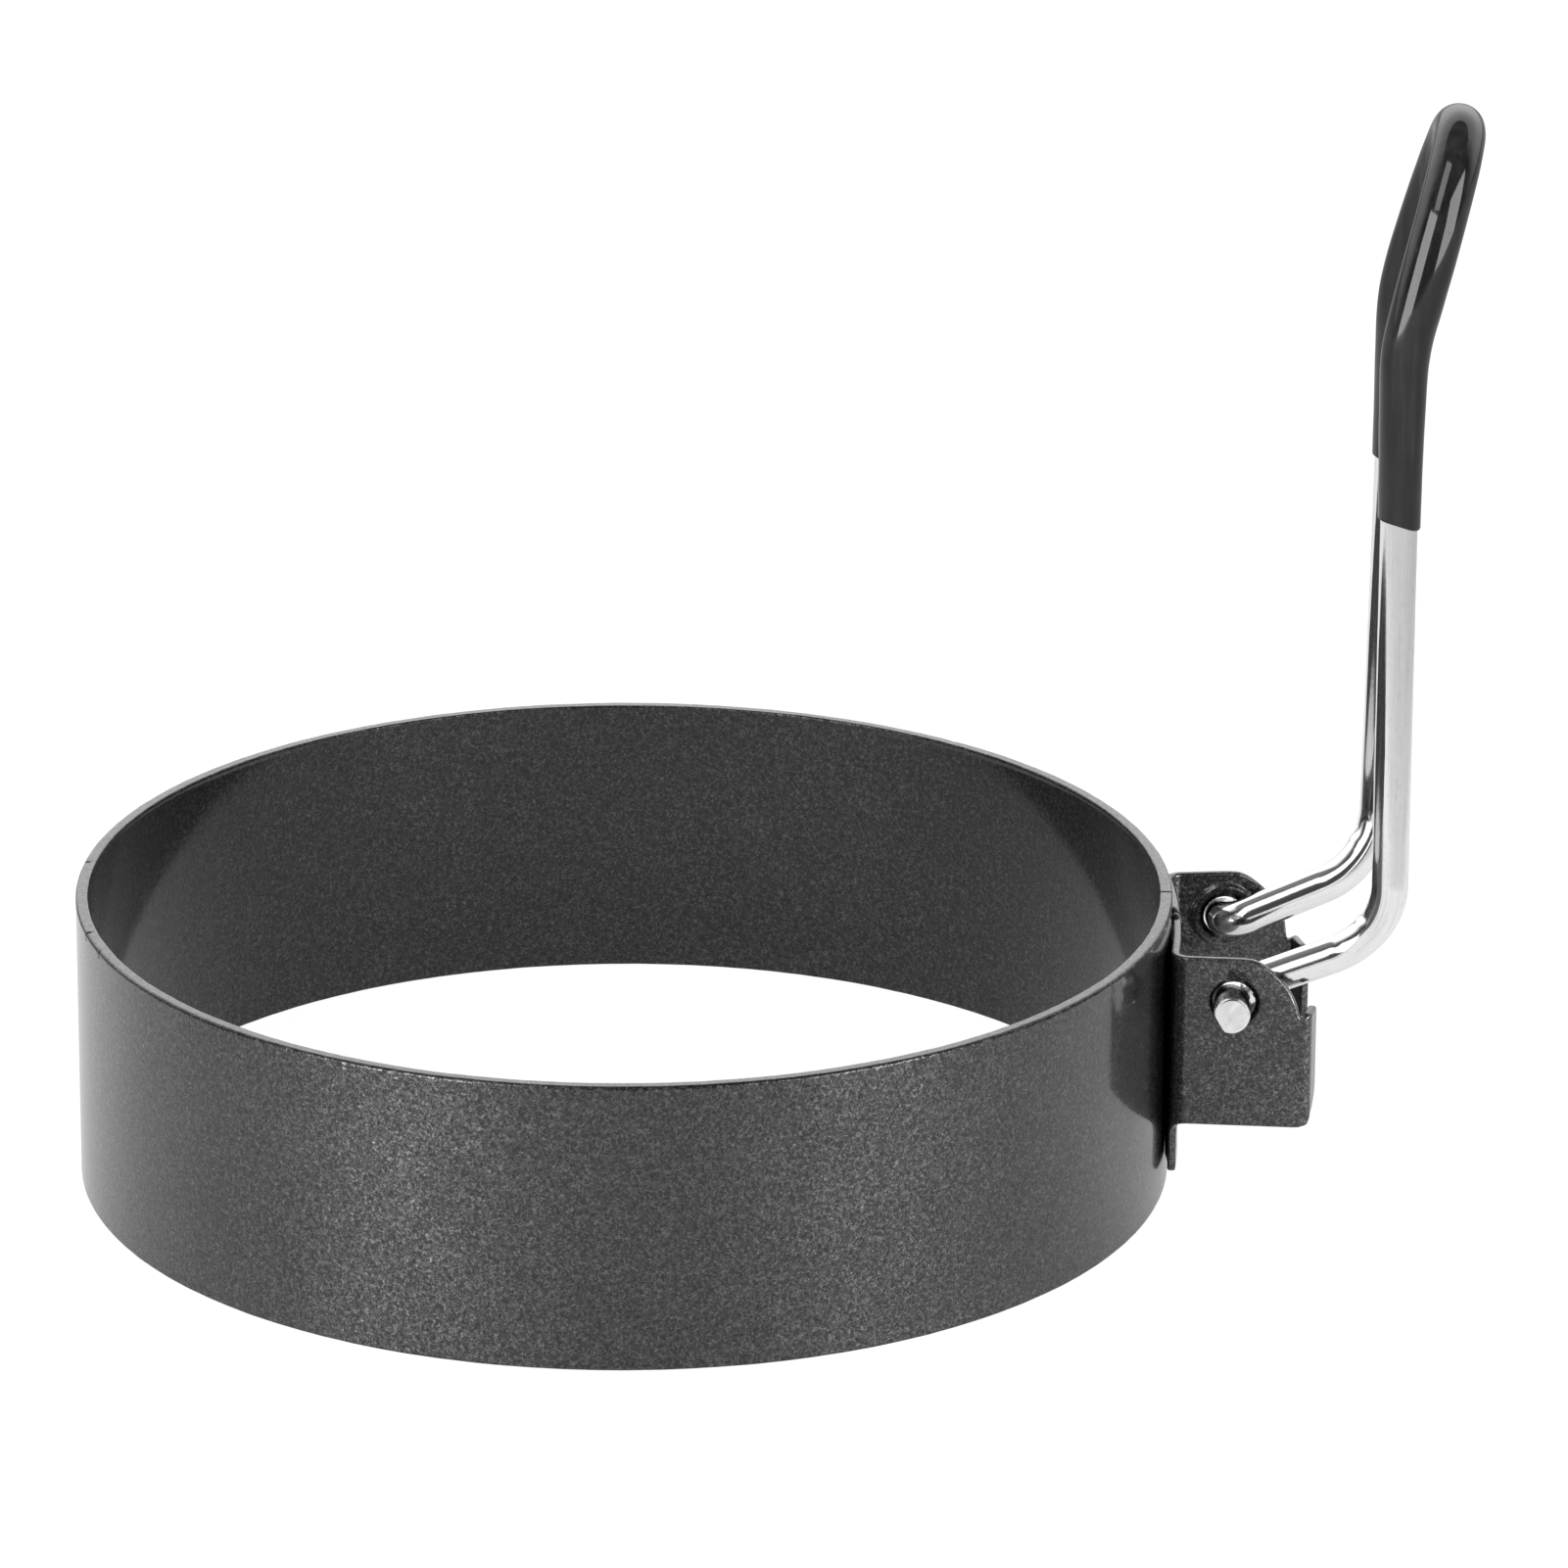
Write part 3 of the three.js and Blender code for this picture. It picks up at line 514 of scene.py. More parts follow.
def build_bracket():
    fold = Fold()
    qs = np.linspace(0, fold.lip_end(6.0), 6000)
    xs, ys, txs, tys = fold.half(qs)
    ear_part = (qs >= fold.q2) & (qs <= fold.q4)

    def q_of_x(x):  # along the ear and its outer bend
        return float(np.interp(x, xs[ear_part], qs[ear_part]))

    def q_of_lip(y):
        return fold.lip_end(y)

    q_tab = fold.q1 + 0.36

    def bottom(end):
        """From the middle of the base plate to the free edge of the lip."""
        low, ear = 1.88, 5.87
        pts = [(0.0, low)] + corner(q_tab - 0.5, low + 0.5, 0.5, 270, 360)
        pts += [(q_tab + 1.3 - 1.3 * math.cos(t), ear - 1.4 + 1.4 * math.sin(t)) for t in np.linspace(0, math.pi / 2, 16)]
        rise = [(45.6, ear), (46.0, ear + 0.03), (46.22, ear + 0.11), (46.46, ear + 0.25)]
        shift = end - 7.0
        lip = [(8.35 + shift, 6.72), (7.95 + shift, 6.93), (7.6 + shift, 7.25), (7.3 + shift, 7.62), (7.1 + shift, 8.0), (end, 8.5)]
        pts += curved([(q_of_x(x), z) for x, z in rise] + [(q_of_lip(y), z) for y, z in lip])
        return pts

    def top(lip, dx, end, round_r):
        t = 18.0
        ear = [(41.6 + dx, t), (42.2 + dx, t - 0.02), (42.8 + dx, t - 0.1), (43.4 + dx, 17.62), (44.1 + dx, 17.08), (44.7 + dx, 16.5),
               (45.15 + dx * 0.8, 15.93), (45.5 + dx * 0.6, 15.27), (45.74 + dx * 0.3, 14.65), (45.87, lip + 0.02), (45.95, lip - 0.18),
               (46.06, lip - 0.25), (46.2, lip - 0.19), (46.40, lip - 0.02)]
        pts = [(0.0, t)] + curved([(q_of_x(x), z) for x, z in ear])
        w = q_of_lip(end)
        pts += corner(w - round_r, lip - round_r, round_r, 90, 0)
        return pts

    low_near, low_far = bottom(LIP_END_NEAR), bottom(LIP_END_FAR)
    upper_far, upper_near = top(13.15, -0.25, LIP_END_FAR, 0.9), top(14.15, 0.0, LIP_END_NEAR, 0.35)
    flip = lambda pts: [(-q, z) for q, z in pts]
    loop = flip(low_near)[::-1] + low_far[1:] + upper_far[::-1] + flip(upper_near)[1:]
    loop = dense(loop + [loop[0]], 0.11)[:-1]
    keep = [loop[0]]
    for p in loop[1:]:
        if np.linalg.norm(p - keep[-1]) > 0.018:
            keep.append(p)
    if np.linalg.norm(keep[0] - keep[-1]) < 0.018:
        keep.pop()
    outline = np.array(keep)
    ahead_, back_ = np.roll(outline, -1, 0), np.roll(outline, 1, 0)
    t = (ahead_ - outline) / np.linalg.norm(ahead_ - outline, axis=1)[:, None] + (outline - back_) / np.linalg.norm(outline - back_, axis=1)[:, None]
    t /= np.linalg.norm(t, axis=1)[:, None]
    inward = np.stack([-t[:, 1], t[:, 0]], 1)

    rounding = [rad(a) for a in (90, 68, 45, 22, 0)]
    layers = [(EDGE_R * (1 - math.sin(a)), SHEET_T / 2 - EDGE_R * (1 - math.cos(a))) for a in rounding] + [(EDGE_R + 0.05, SHEET_T / 2)]

    S, Zc, H_out, H_in = [], [], [], []      # flat pattern and the two faces' offsets

    def put(p, ho, hi):
        S.append(float(p[0])); Zc.append(float(p[1])); H_out.append(float(ho)); H_in.append(float(hi))
        return len(S) - 1

    faces2d = []          # counter-clockwise in (s, z)
    rims = []             # outermost loops, to close the cut edges
    loops = []
    for d, h in layers:
        loops.append([put(p + n * d, h, h) for p, n in zip(outline, inward)])
    rims.append(loops[0])
    for a, b in zip(loops, loops[1:]):
        n = len(a)
        for i in range(n):
            j = (i + 1) % n
            faces2d.append((a[i], a[j], b[j], b[i]))
    constraints = [loops[-1]]

    # pivot holes, with a raised collar on the inner face
    holes = []
    sides = 72
    for sign, hole_r, middle, sunk in ((1, 1.42, -0.06, 0.02), (-1, 1.46, -0.03, 0.02)):
        centre = np.array([sign * q_of_x(HOLE_U + middle), HOLE_Z])
        holes.append(centre)
        hole_loops = []
        radii = [(hole_r + d * 0.5, SHEET_T / 2 - (SHEET_T / 2 - h) * 0.5) for d, h in layers[:-1]] + [(r, SHEET_T / 2) for r in (1.76, 1.84, 1.92, 2.0, 2.08, 2.15, 2.22, 2.29, 2.36, 2.44, 2.54)]
        for r, h in radii:
            collar = 0.27 * float(smooth01((2.42 - r) / 0.34))
            draw = sunk * float(smooth01((2.5 - r) / 1.0))
            hole_loops.append([put(centre + r * np.array([math.cos(2 * math.pi * i / sides), math.sin(2 * math.pi * i / sides)]), h - draw, h + collar)
                               for i in range(sides)])
        for a, b in zip(hole_loops, hole_loops[1:]):
            for i in range(sides):
                j = (i + 1) % sides
                faces2d.append((b[i], b[j], a[j], a[i]))
        rims.append(hole_loops[0][::-1])
        constraints.append(hole_loops[-1])

    # inner points, close together across the bends
    columns = []
    for a, b, step in ((0.0, fold.q1, 0.55), (fold.q1, fold.q2, 0.10), (fold.q2, fold.q3, 0.55), (fold.q3, fold.q4, 0.07), (fold.q4, q_of_lip(6.3), 0.4)):
        n = max(1, int(round((b - a) / step)))
        columns += [a + (b - a) * i / n for i in range(n)]
    columns = np.array(sorted(set(np.round(columns + [-c for c in columns], 5))))
    grid = np.array([(c, z) for c in columns for z in np.arange(2.2, 18.0, 0.52)])
    x0, z0 = outline[:, 0], outline[:, 1]
    x1, z1 = np.roll(x0, -1), np.roll(z0, -1)
    gx, gz = grid[:, :1], grid[:, 1:]
    with np.errstate(divide="ignore", invalid="ignore"):
        cross = ((z0 > gz) != (z1 > gz)) & (gx < (x1 - x0) * (gz - z0) / (z1 - z0) + x0)
    inside = cross.sum(1) % 2 == 1
    clear = np.sqrt(((grid[:, None, :] - outline[None]) ** 2).sum(-1)).min(1) > 0.29
    for c in holes:
        clear &= np.linalg.norm(grid - c, axis=1) > 2.7
    grid = grid[inside & clear]

    ids = [i for c in constraints for i in c]
    ids += [put(p, SHEET_T / 2, SHEET_T / 2) for p in grid]
    where = {}
    for k, i in enumerate(ids):
        where[i] = k
    edges = []
    for c in constraints:
        edges += [(where[c[i]], where[c[(i + 1) % len(c)]]) for i in range(len(c))]
    coords, _, tris, original, _, _ = delaunay_2d_cdt([Vector((S[i], Zc[i])) for i in ids], edges, [], 1, 1e-6)
    names = [ids[o[0]] if o else None for o in original]
    for tri in tris:
        c = sum((np.array(coords[i]) for i in tri), np.zeros(2)) / len(tri)
        if any(np.linalg.norm(c - h) < 2.5 for h in holes) or any(names[i] is None for i in tri):
            continue
        poly = [names[i] for i in tri]
        a = sum(S[poly[i]] * Zc[poly[(i + 1) % len(poly)]] - S[poly[(i + 1) % len(poly)]] * Zc[poly[i]] for i in range(len(poly)))
        faces2d.append(tuple(poly if a > 0 else reversed(poly)))

    S, Zc, H_out, H_in = map(np.array, (S, Zc, H_out, H_in))
    x, y, nx, ny = fold.at(S)
    # paint fills the wedge between base plate and band except at its mouth
    wedge = (x - SHEET_T / 2) - np.sqrt(np.maximum(RING_R**2 - y * y, 0)) - 0.03
    fill = np.clip(wedge, 0, None) * smooth01((6.55 - np.abs(y)) / 0.75) * (np.abs(S) < fold.q1)
    H_out = H_out + fill * smooth01((Zc - 2.0) / 0.5) * smooth01((17.9 - Zc) / 0.5)
    outer = np.stack([x + nx * H_out, y + ny * H_out, Zc], 1)
    inner = np.stack([x - nx * H_in, y - ny * H_in, Zc], 1)
    count = len(S)
    faces = [tuple(reversed(f)) for f in faces2d] + [tuple(i + count for i in f) for f in faces2d]
    for rim in rims:
        n = len(rim)
        for i in range(n):
            j = (i + 1) % n
            faces.append((rim[i], rim[j], rim[j] + count, rim[i] + count))
    verts = np.concatenate([outer, inner])

    # weld at the top of the base plate
    lumps = [((37.74, 0.42, 17.93), (0.34, 0.52, 0.42), 21), ((37.79, -0.50, 17.86), (0.36, 0.48, 0.40), 22), ((37.86, -0.02, 17.62), (0.36, 0.40, 0.60), 23)]
    for centre, size, seed in lumps:
        lump_v, lump_f = blob(centre, size, seed)
        faces += [tuple(i + len(verts) for i in f) for f in lump_f]
        verts = np.concatenate([verts, lump_v])
    return make_piece("bracket_folded_sheet", verts, faces)


def blob(centre, size, seed, rows=14, cols=22):
    """A small uneven drop."""
    pts, faces = [], []
    rng = np.random.default_rng(seed)
    ph = rng.random(6) * 2 * math.pi
    for i in range(1, rows):
        a = math.pi * i / rows
        for j in range(cols):
            b = 2 * math.pi * j / cols
            d = np.array([math.sin(a) * math.cos(b), math.sin(a) * math.sin(b), math.cos(a)])
            r = 1 + 0.10 * math.sin(3 * d[0] + ph[0]) * math.sin(2.5 * d[1] + ph[1]) + 0.07 * math.sin(5 * d[2] + ph[2] + 2 * d[0])
            pts.append(np.array(centre) + d * np.array(size) * r)
    top, low = len(pts), len(pts) + 1
    pts += [np.array(centre) + np.array((0, 0, size[2])), np.array(centre) - np.array((0, 0, size[2]))]
    for i in range(rows - 2):
        for j in range(cols):
            k = (j + 1) % cols
            faces.append((i * cols + j, (i + 1) * cols + j, (i + 1) * cols + k, i * cols + k))
    for j in range(cols):
        k = (j + 1) % cols
        faces.append((top, j, k))
        faces.append((low, (rows - 2) * cols + k, (rows - 2) * cols + j))
    return np.array(pts), faces


# ---------------------------------------------------------------- handle
WIRE_R = 1.25
PIVOT = (41.5, 14.9)
LEG_RISE, LEG_LEAN, LOOP_LEAN = rad(22.2), rad(0.38), rad(15.0)


def upright_x(z):
    t1, t2, d = math.tan(LEG_LEAN), math.tan(LOOP_LEAN), z - 60.55
    return 51.88 + t1 * (z - 20) + (t2 - t1) * 0.5 * (d + math.sqrt(d * d + 1.49**2))


def twisted(x, y, z):
    return np.array([x + 0.001 * max(z - 20, 0) * y, y, z])


def half_wire(side):
    pts = []
    leg = np.array([math.cos(LEG_RISE), 0, math.sin(LEG_RISE)])
    cx = 51.88
    for _ in range(20):
        cx = upright_x(PIVOT[1] + (cx - PIVOT[0]) * math.tan(LEG_RISE))
    cz = PIVOT[1] + (cx - PIVOT[0]) * math.tan(LEG_RISE)
    bend = math.pi / 2 - LEG_RISE - LEG_LEAN
    back = 6.0 * math.tan(bend / 2)
    e0 = np.array([cx - back * leg[0], cz - back * leg[2]])
    ec = np.array([e0[0] - 6.0 * leg[2], e0[1] + 6.0 * leg[0]])
    knee = np.array([PIVOT[0], side * 6.2, PIVOT[1]])
    end = np.array([41.2, side * 11.3, PIVOT[1]])
    to_end = (end - knee) / np.linalg.norm(end - knee)
    leg_end = np.array([e0[0], side * 6.75, e0[1]])
    to_leg = (leg_end - knee) / np.linalg.norm(leg_end - knee)
    between = math.acos(float(to_end @ to_leg))
    hook = 1.7
    mid = to_end + to_leg
    centre = knee + mid / np.linalg.norm(mid) * hook / math.sin(between / 2)
    h0, h1 = knee + to_end * hook / math.tan(between / 2), knee + to_leg * hook / math.tan(between / 2)
    pts += [end + (h0 - end) * i / 12 for i in range(12)]
    sweep = math.pi - between
    u0, u1 = h0 - centre, h1 - centre
    for i in range(24):
        a = sweep * i / 23
        pts.append(centre + u0 * math.sin(sweep - a) / math.sin(sweep) + u1 * math.sin(a) / math.sin(sweep))
    pts += [h1 + (leg_end - h1) * i / 14 for i in range(1, 14)]
    for i in range(40):
        s = i / 39
        a = LEG_RISE + bend * s
        y = side * (6.75 + (7.75 - 6.75) * s * s * (3 - 2 * s))
        pts.append(twisted(ec[0] + 6.0 * math.sin(a), y, ec[1] - 6.0 * math.cos(a)))
    z_top = pts[-1][2]
    spread = lambda z: 7.75 - 0.031 * (z - z_top)
    for z in np.linspace(z_top, 59.9, 90)[1:]:
        pts.append(twisted(upright_x(z), side * spread(z), z))
    for i in range(81):
        a = math.pi / 2 * i / 80
        z = 60.7 + 13.0 * math.sin(a) ** (2 / 2.4)
        y = 0.0 if i == 80 else side * spread(z) * math.cos(a) ** (2 / 2.4)
        pts.append(twisted(upright_x(z), y, z))
    return pts


class Path:
    """The wire's centre line by length from its near end, with a frame that doesn't twist."""

    def __init__(self):
        near, far = half_wire(-1), half_wire(1)
        p = np.array(near + far[::-1][1:])
        keep = np.concatenate([[True], np.linalg.norm(np.diff(p, axis=0), axis=1) > 1e-6])
        p = p[keep]
        s = np.concatenate([[0], np.cumsum(np.linalg.norm(np.diff(p, axis=0), axis=1))])
        self.length = float(s[-1])
        self.s = np.linspace(0, self.length, 2400)
        q = np.stack([np.interp(self.s, s, p[:, k]) for k in range(3)], 1)
        for _ in range(6):      # takes the corners off the sampled line
            q[1:-1] = 0.25 * q[:-2] + 0.5 * q[1:-1] + 0.25 * q[2:]
        self.p = q
        t = np.gradient(q, axis=0)
        self.t = t / np.linalg.norm(t, axis=1)[:, None]
        n = np.zeros_like(q)
        first = np.array([0.0, 0.0, 1.0])
        n[0] = first - self.t[0] * (first @ self.t[0])
        n[0] /= np.linalg.norm(n[0])
        for i in range(1, len(q)):
            v = n[i - 1] - self.t[i] * (n[i - 1] @ self.t[i])
            n[i] = v / np.linalg.norm(v)
        self.n = n
        self.b = np.cross(self.t, n)

    def at(self, s):
        s = np.asarray(s, float)
        pick = lambda a: np.stack([np.interp(s, self.s, a[:, k]) for k in range(3)], -1)
        p, t, n = pick(self.p), pick(self.t), pick(self.n)
        over = s - np.clip(s, 0, self.length)
        t /= np.linalg.norm(t, axis=-1)[..., None]
        p = p + t * over[..., None]
        n -= t * (n * t).sum(-1)[..., None]
        n /= np.linalg.norm(n, axis=-1)[..., None]
        return p, t, n, np.cross(t, n)


def tube_faces(rows, cols, first=0, flip=False):
    out = []
    for i in range(rows - 1):
        for j in range(cols):
            k = (j + 1) % cols
            f = (first + i * cols + j, first + i * cols + k, first + (i + 1) * cols + k, first + (i + 1) * cols + j)
            out.append(f[::-1] if flip else f)
    return out


def build_wire(path):
    cols = 44
    bevel = 0.16
    s_mid = np.arange(bevel + 0.05, path.length - bevel - 0.05, 0.2)
    angles = [rad(a) for a in (0, 18, 36, 54, 72, 90)]
    start = [(bevel * (1 - math.sin(a)), WIRE_R - bevel * (1 - math.cos(a))) for a in angles][::-1]
    face = [(0.0, WIRE_R * f) for f in (0.04, 0.12, 0.2, 0.28, 0.36, 0.44, 0.52, 0.6, 0.68, 0.76, 0.84)]
    head = face + start
    s_all = np.array([s for s, _ in head] + list(s_mid) + [path.length - s for s, _ in head[::-1]])
    r_all = np.array([r for _, r in head] + [WIRE_R] * len(s_mid) + [r for _, r in head[::-1]])
    p, t, n, b = path.at(s_all)
    ang = np.arange(cols) * 2 * math.pi / cols
    radial = n[:, None, :] * np.cos(ang)[None, :, None] + b[:, None, :] * np.sin(ang)[None, :, None]
    r = np.repeat(r_all[:, None], cols, 1)

    # tool marks on the inside of the two elbows: a small pinch with a flat above it
    for s0, sign in ((15.0, 1), (path.length - 15.8, -1)):
        i = int(np.argmin(np.abs(s_all - s0)))
        inside = t[i][2] * np.array([-1.0, 0, 0]) + t[i][0] * np.array([0, 0, 1.0])
        if sign < 0:
            inside = -inside
        inside /= np.linalg.norm(inside)
        facing = np.clip((radial * inside).sum(-1), 0, 1)
        ds = (s_all - s0)[:, None] * sign
        ridge = 0.06 * np.exp(-(((ds + 0.05) / 0.24) ** 2))
        flat = -0.085 * np.exp(-(((ds - 0.75) / 0.5) ** 2))
        r = r + (ridge + flat) * facing**5 * (r > WIRE_R * 0.9)
        # the outside of the bend thins by a hair
        r = r - 0.03 * np.exp(-((ds / 2.2) ** 2)) * np.clip(-(radial * inside).sum(-1), 0, 1) ** 2 * (r > WIRE_R * 0.9)
    # hand-drawn wire is never quite straight or round
    r = r + 0.006 * wave(s_all, 31, 26.0, 3.0)[:, None] * np.cos(2 * ang)[None, :] * (r > WIRE_R * 0.95)
    verts = p[:, None, :] + radial * r[..., None]

    # sheared ends: a step across the face, and a nick at the lower edge of the near one
    low = np.array([-0.87, 0.0, -0.5])
    low /= np.linalg.norm(low)
    for at_end, sign in ((s_all < 1.2, 1), (s_all > path.length - 1.2, -1)):
        idx = np.where(at_end)[0]
        depth = (s_all[idx] if sign > 0 else path.length - s_all[idx])[:, None]
        off = verts[idx] - p[idx][:, None, :]
        across = (off * np.array([0.95, 0, -0.31])).sum(-1)
        up = (off * np.array([0.31, 0, 0.95])).sum(-1)
        step = 0.022 * smooth01((across + 0.14 * np.sin(3.0 * up + 0.6)) / 0.30 + 0.5) + 0.012 * np.sin(2.3 * across + 1.2 * up) + 0.10 * up
        step = step * (depth < 0.14)
        axis = t[idx][:, None, :] * sign
        verts[idx] = verts[idx] + axis * step[..., None]
        reach = (off * low).sum(-1)
        limit = 0.78 * WIRE_R + depth * 0.55 if sign > 0 else 0.90 * WIRE_R + depth * 0.6
        verts[idx] = verts[idx] - low * np.maximum(reach - limit, 0)[..., None]
    rows = len(s_all)
    faces = tube_faces(rows, cols)
    a = rows * cols
    verts = np.concatenate([verts.reshape(-1, 3), verts[0].mean(0)[None], verts[-1].mean(0)[None]])
    for j in range(cols):
        k = (j + 1) % cols
        faces.append((a, k, j))
        faces.append((a + 1, (rows - 1) * cols + j, (rows - 1) * cols + k))
    uv = np.stack([np.tile(ang / (2 * math.pi), rows), np.repeat(s_all * 0.1, cols)], 1)
    uv = np.concatenate([uv, [[0.5, 0.0], [0.5, path.length * 0.1]]])
    return make_piece("handle_bent_wire", verts, faces, uv)


def build_sleeve(path):
    cols = 48
    bore = WIRE_R + 0.012
    zs = path.p[:, 2]
    up = np.where(zs > 48.75)[0]
    s_a, s_b = float(path.s[up[0]]), float(path.s[up[-1]])
    ang = np.arange(cols) * 2 * math.pi / cols
    lip = 0.11
    ends = [(lip * (1 - math.sin(rad(a))), -lip * (1 - math.cos(rad(a)))) for a in (90, 70, 50, 30, 12, 0)]
    start = [(0.0, None)] + [(d, dr) for d, dr in ends]
    inner_end = 0.0
    # outside, from one end to the other: distance from the near end, change of radius
    dist = [d for d, _ in ends] + list(np.arange(lip + 0.08, s_b - s_a - lip - 0.08, 0.26)) + [s_b - s_a - d for d, _ in ends[::-1]]
    drop = [dr for _, dr in ends] + [0.0] * (len(dist) - 2 * len(ends)) + [dr for _, dr in ends[::-1]]
    dist, drop = np.array(dist), np.array(drop)

    def ring(dist, radius, wavy):
        s = s_a + dist[:, None] + np.zeros((1, cols))
        p0, t0, n0, b0 = path.at(s_a + dist)
        radial0 = n0[:, None, :] * np.cos(ang)[None, :, None] + b0[:, None, :] * np.sin(ang)[None, :, None]
        # the dipped edge runs lower on the outer side of each leg
        for end, sign, slope in ((0.0, -1.0, 0.27), (s_b - s_a, 1.0, 0.20)):
            lean = radial0[..., 0] * slope * 1.45 + 0.05 * np.sin(3 * ang + 1.0)[None, :]
            fade = np.clip(1 - np.abs(dist - end) / 3.5, 0, 1)[:, None] ** 1.5
            s = s + sign * (lean + 0.12) * fade
        p, t, n, b = path.at(s)
        radial = n * np.cos(ang)[None, :, None] + b * np.sin(ang)[None, :, None]
        r = radius[:, None] + np.zeros((1, cols))
        if wavy:
            r = r - 0.010 * (1 + wave(dist, 41, 19.0, 3.2)[:, None]) + 0.009 * wave(dist, 42, 15.0, 2.6)[:, None] * np.cos(ang + 0.7)[None, :]
        return p + radial * r[..., None]

    z_mid = path.at(s_a + dist)[0][:, 2]
    r_out = 1.45 + (1.735 - 1.45) * smooth01((z_mid - 48.55) / (67.5 - 48.55)) ** 0.9
    outside = ring(dist, r_out + drop, True)
    back = np.array([0.0, 0.25] + list(np.arange(1.0, s_b - s_a - 1.0, 1.0)) + [s_b - s_a - 0.25, s_b - s_a])
    inside = ring(back, np.full(len(back), bore), False)
    ra, rb = len(outside), len(inside)
    verts = np.concatenate([outside.reshape(-1, 3), inside.reshape(-1, 3)])
    faces = tube_faces(ra, cols) + tube_faces(rb, cols, ra * cols, True)
    for j in range(cols):
        k = (j + 1) % cols
        faces.append((j, ra * cols + j, ra * cols + k, k))
        a, b = (ra - 1) * cols, (ra + rb - 1) * cols
        faces.append((a + j, a + k, b + k, b + j))
    return make_piece("grip_dipped_sleeve", verts, faces)


# -------------------------------------------------------------- assembly
steel = coated_steel("coated_steel_band", 0.0, [(0.36, 0.0085), (0.47, 0.022), (0.57, 0.054), (0.70, 0.108)], 0.96, 0.105, True)
steel_bracket = coated_steel("coated_steel_bracket", 1.7, [(0.36, 0.009), (0.48, 0.025), (0.57, 0.066), (0.68, 0.15)], 0.88, 0.13)
wire_finish = bright_wire("bright_plated_wire")
vinyl = black_vinyl("black_dipped_vinyl")

wire_path = Path()
for piece, body, node, slot, material in (
    (build_band(), "ring", "ring_band", "coated_steel", steel),
    (build_bracket(), "ring", "hinge_bracket", "coated_steel", steel_bracket),
    (build_wire(wire_path), "handle", "wire_handle", "bright_wire", wire_finish),
    (build_sleeve(wire_path), "handle", "grip_sleeve", "black_vinyl", vinyl),
):
    piece.data.materials.append(material)
    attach(piece, body)
    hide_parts(node)


# ------------------------------------------------------- floor and light
def build_floor():
    mesh = bpy.data.meshes.new("studio_floor")
    n, half = 24, 6.0
    g = np.linspace(-half, half, n + 1)
    verts = [(float(x), float(y), 0.0) for y in g for x in g]
    faces = [(j * (n + 1) + i, j * (n + 1) + i + 1, (j + 1) * (n + 1) + i + 1, (j + 1) * (n + 1) + i) for j in range(n) for i in range(n)]
    mesh.from_pydata(verts, [], faces)
    floor = bpy.data.objects.new("studio_floor", mesh)
    bpy.context.scene.collection.objects.link(floor)
    m, tree, bsdf = new_material("pale_floor")
    coord = add(tree, "ShaderNodeTexCoord")
    grain = noise(tree, coord.outputs["Object"], 300.0, 3.0)
    tone = ramp(tree, grain.outputs["Fac"], [(0.3, 0.445), (0.7, 0.455)])
    tree.links.new(tone.outputs["Color"], bsdf.inputs["Base Color"])
    bsdf.inputs["Roughness"].default_value = 0.9
    bsdf.inputs["Specular IOR Level"].default_value = 0.1
    # painted light: the floor's emission makes a glowing pool round the object that ends a little way from it,
    # standing in for the lit area of the floor
    centred = add(tree, "ShaderNodeVectorMath", operation="SUBTRACT")
    centred.inputs[1].default_value = (AXIS_X, 0.03, 0.0)
    tree.links.new(coord.outputs["Object"], centred.inputs[0])
    far = add(tree, "ShaderNodeVectorMath", operation="LENGTH")
    tree.links.new(centred.outputs["Vector"], far.inputs[0])
    reach = add(tree, "ShaderNodeMapRange")
    reach.inputs["From Min"].default_value = 0.0
    reach.inputs["From Max"].default_value = 0.30
    tree.links.new(far.outputs["Value"], reach.inputs["Value"])
    floor_painted_light_pool = ramp(tree, reach.outputs["Result"], [(0.0, 0.30), (0.2, 0.40), (0.36, 0.34), (0.5, 0.12), (0.66, 0.03)], "EASE")
    tree.links.new(floor_painted_light_pool.outputs["Color"], bsdf.inputs["Emission Color"])
    bsdf.inputs["Emission Strength"].default_value = 1.0
    seen = tree.nodes.new("ShaderNodeBsdfPrincipled")
    seen.inputs["Base Color"].default_value = (0.12, 0.12, 0.12, 1)
    seen.inputs["Roughness"].default_value = 0.9
    seen.inputs["Specular IOR Level"].default_value = 0.1
    seen.inputs["Emission Color"].default_value = (1, 1, 1, 1)
    seen.inputs["Emission Strength"].default_value = 0.95
    view = tree.nodes.new("ShaderNodeLightPath")
    both = tree.nodes.new("ShaderNodeMixShader")
    out = next(n for n in tree.nodes if n.type == "OUTPUT_MATERIAL")
    tree.links.new(view.outputs["Is Camera Ray"], both.inputs["Fac"])
    tree.links.new(bsdf.outputs["BSDF"], both.inputs[1])
    tree.links.new(seen.outputs["BSDF"], both.inputs[2])
    tree.links.new(both.outputs["Shader"], out.inputs["Surface"])
    mesh.materials.append(m)


build_floor()


def softbox(name, azimuth, elevation, distance, width, height, radiance):
    light = bpy.data.lights.new(name, "AREA")
    light.shape = "RECTANGLE"
    light.size, light.size_y = width, height
    light.energy = radiance * math.pi * width * height
    ob = bpy.data.objects.new(name, light)
    bpy.context.scene.collection.objects.link(ob)
    target = Vector((AXIS_X + 0.02, 0, 0.03))
    way = Vector((math.cos(rad(azimuth)) * math.cos(rad(elevation)), math.sin(rad(azimuth)) * math.cos(rad(elevation)), math.sin(rad(elevation))))
    ob.location = target + way * distance
    ob.rotation_euler = way.to_track_quat("Z", "Y").to_euler()
    ob.visible_camera = False
    return ob


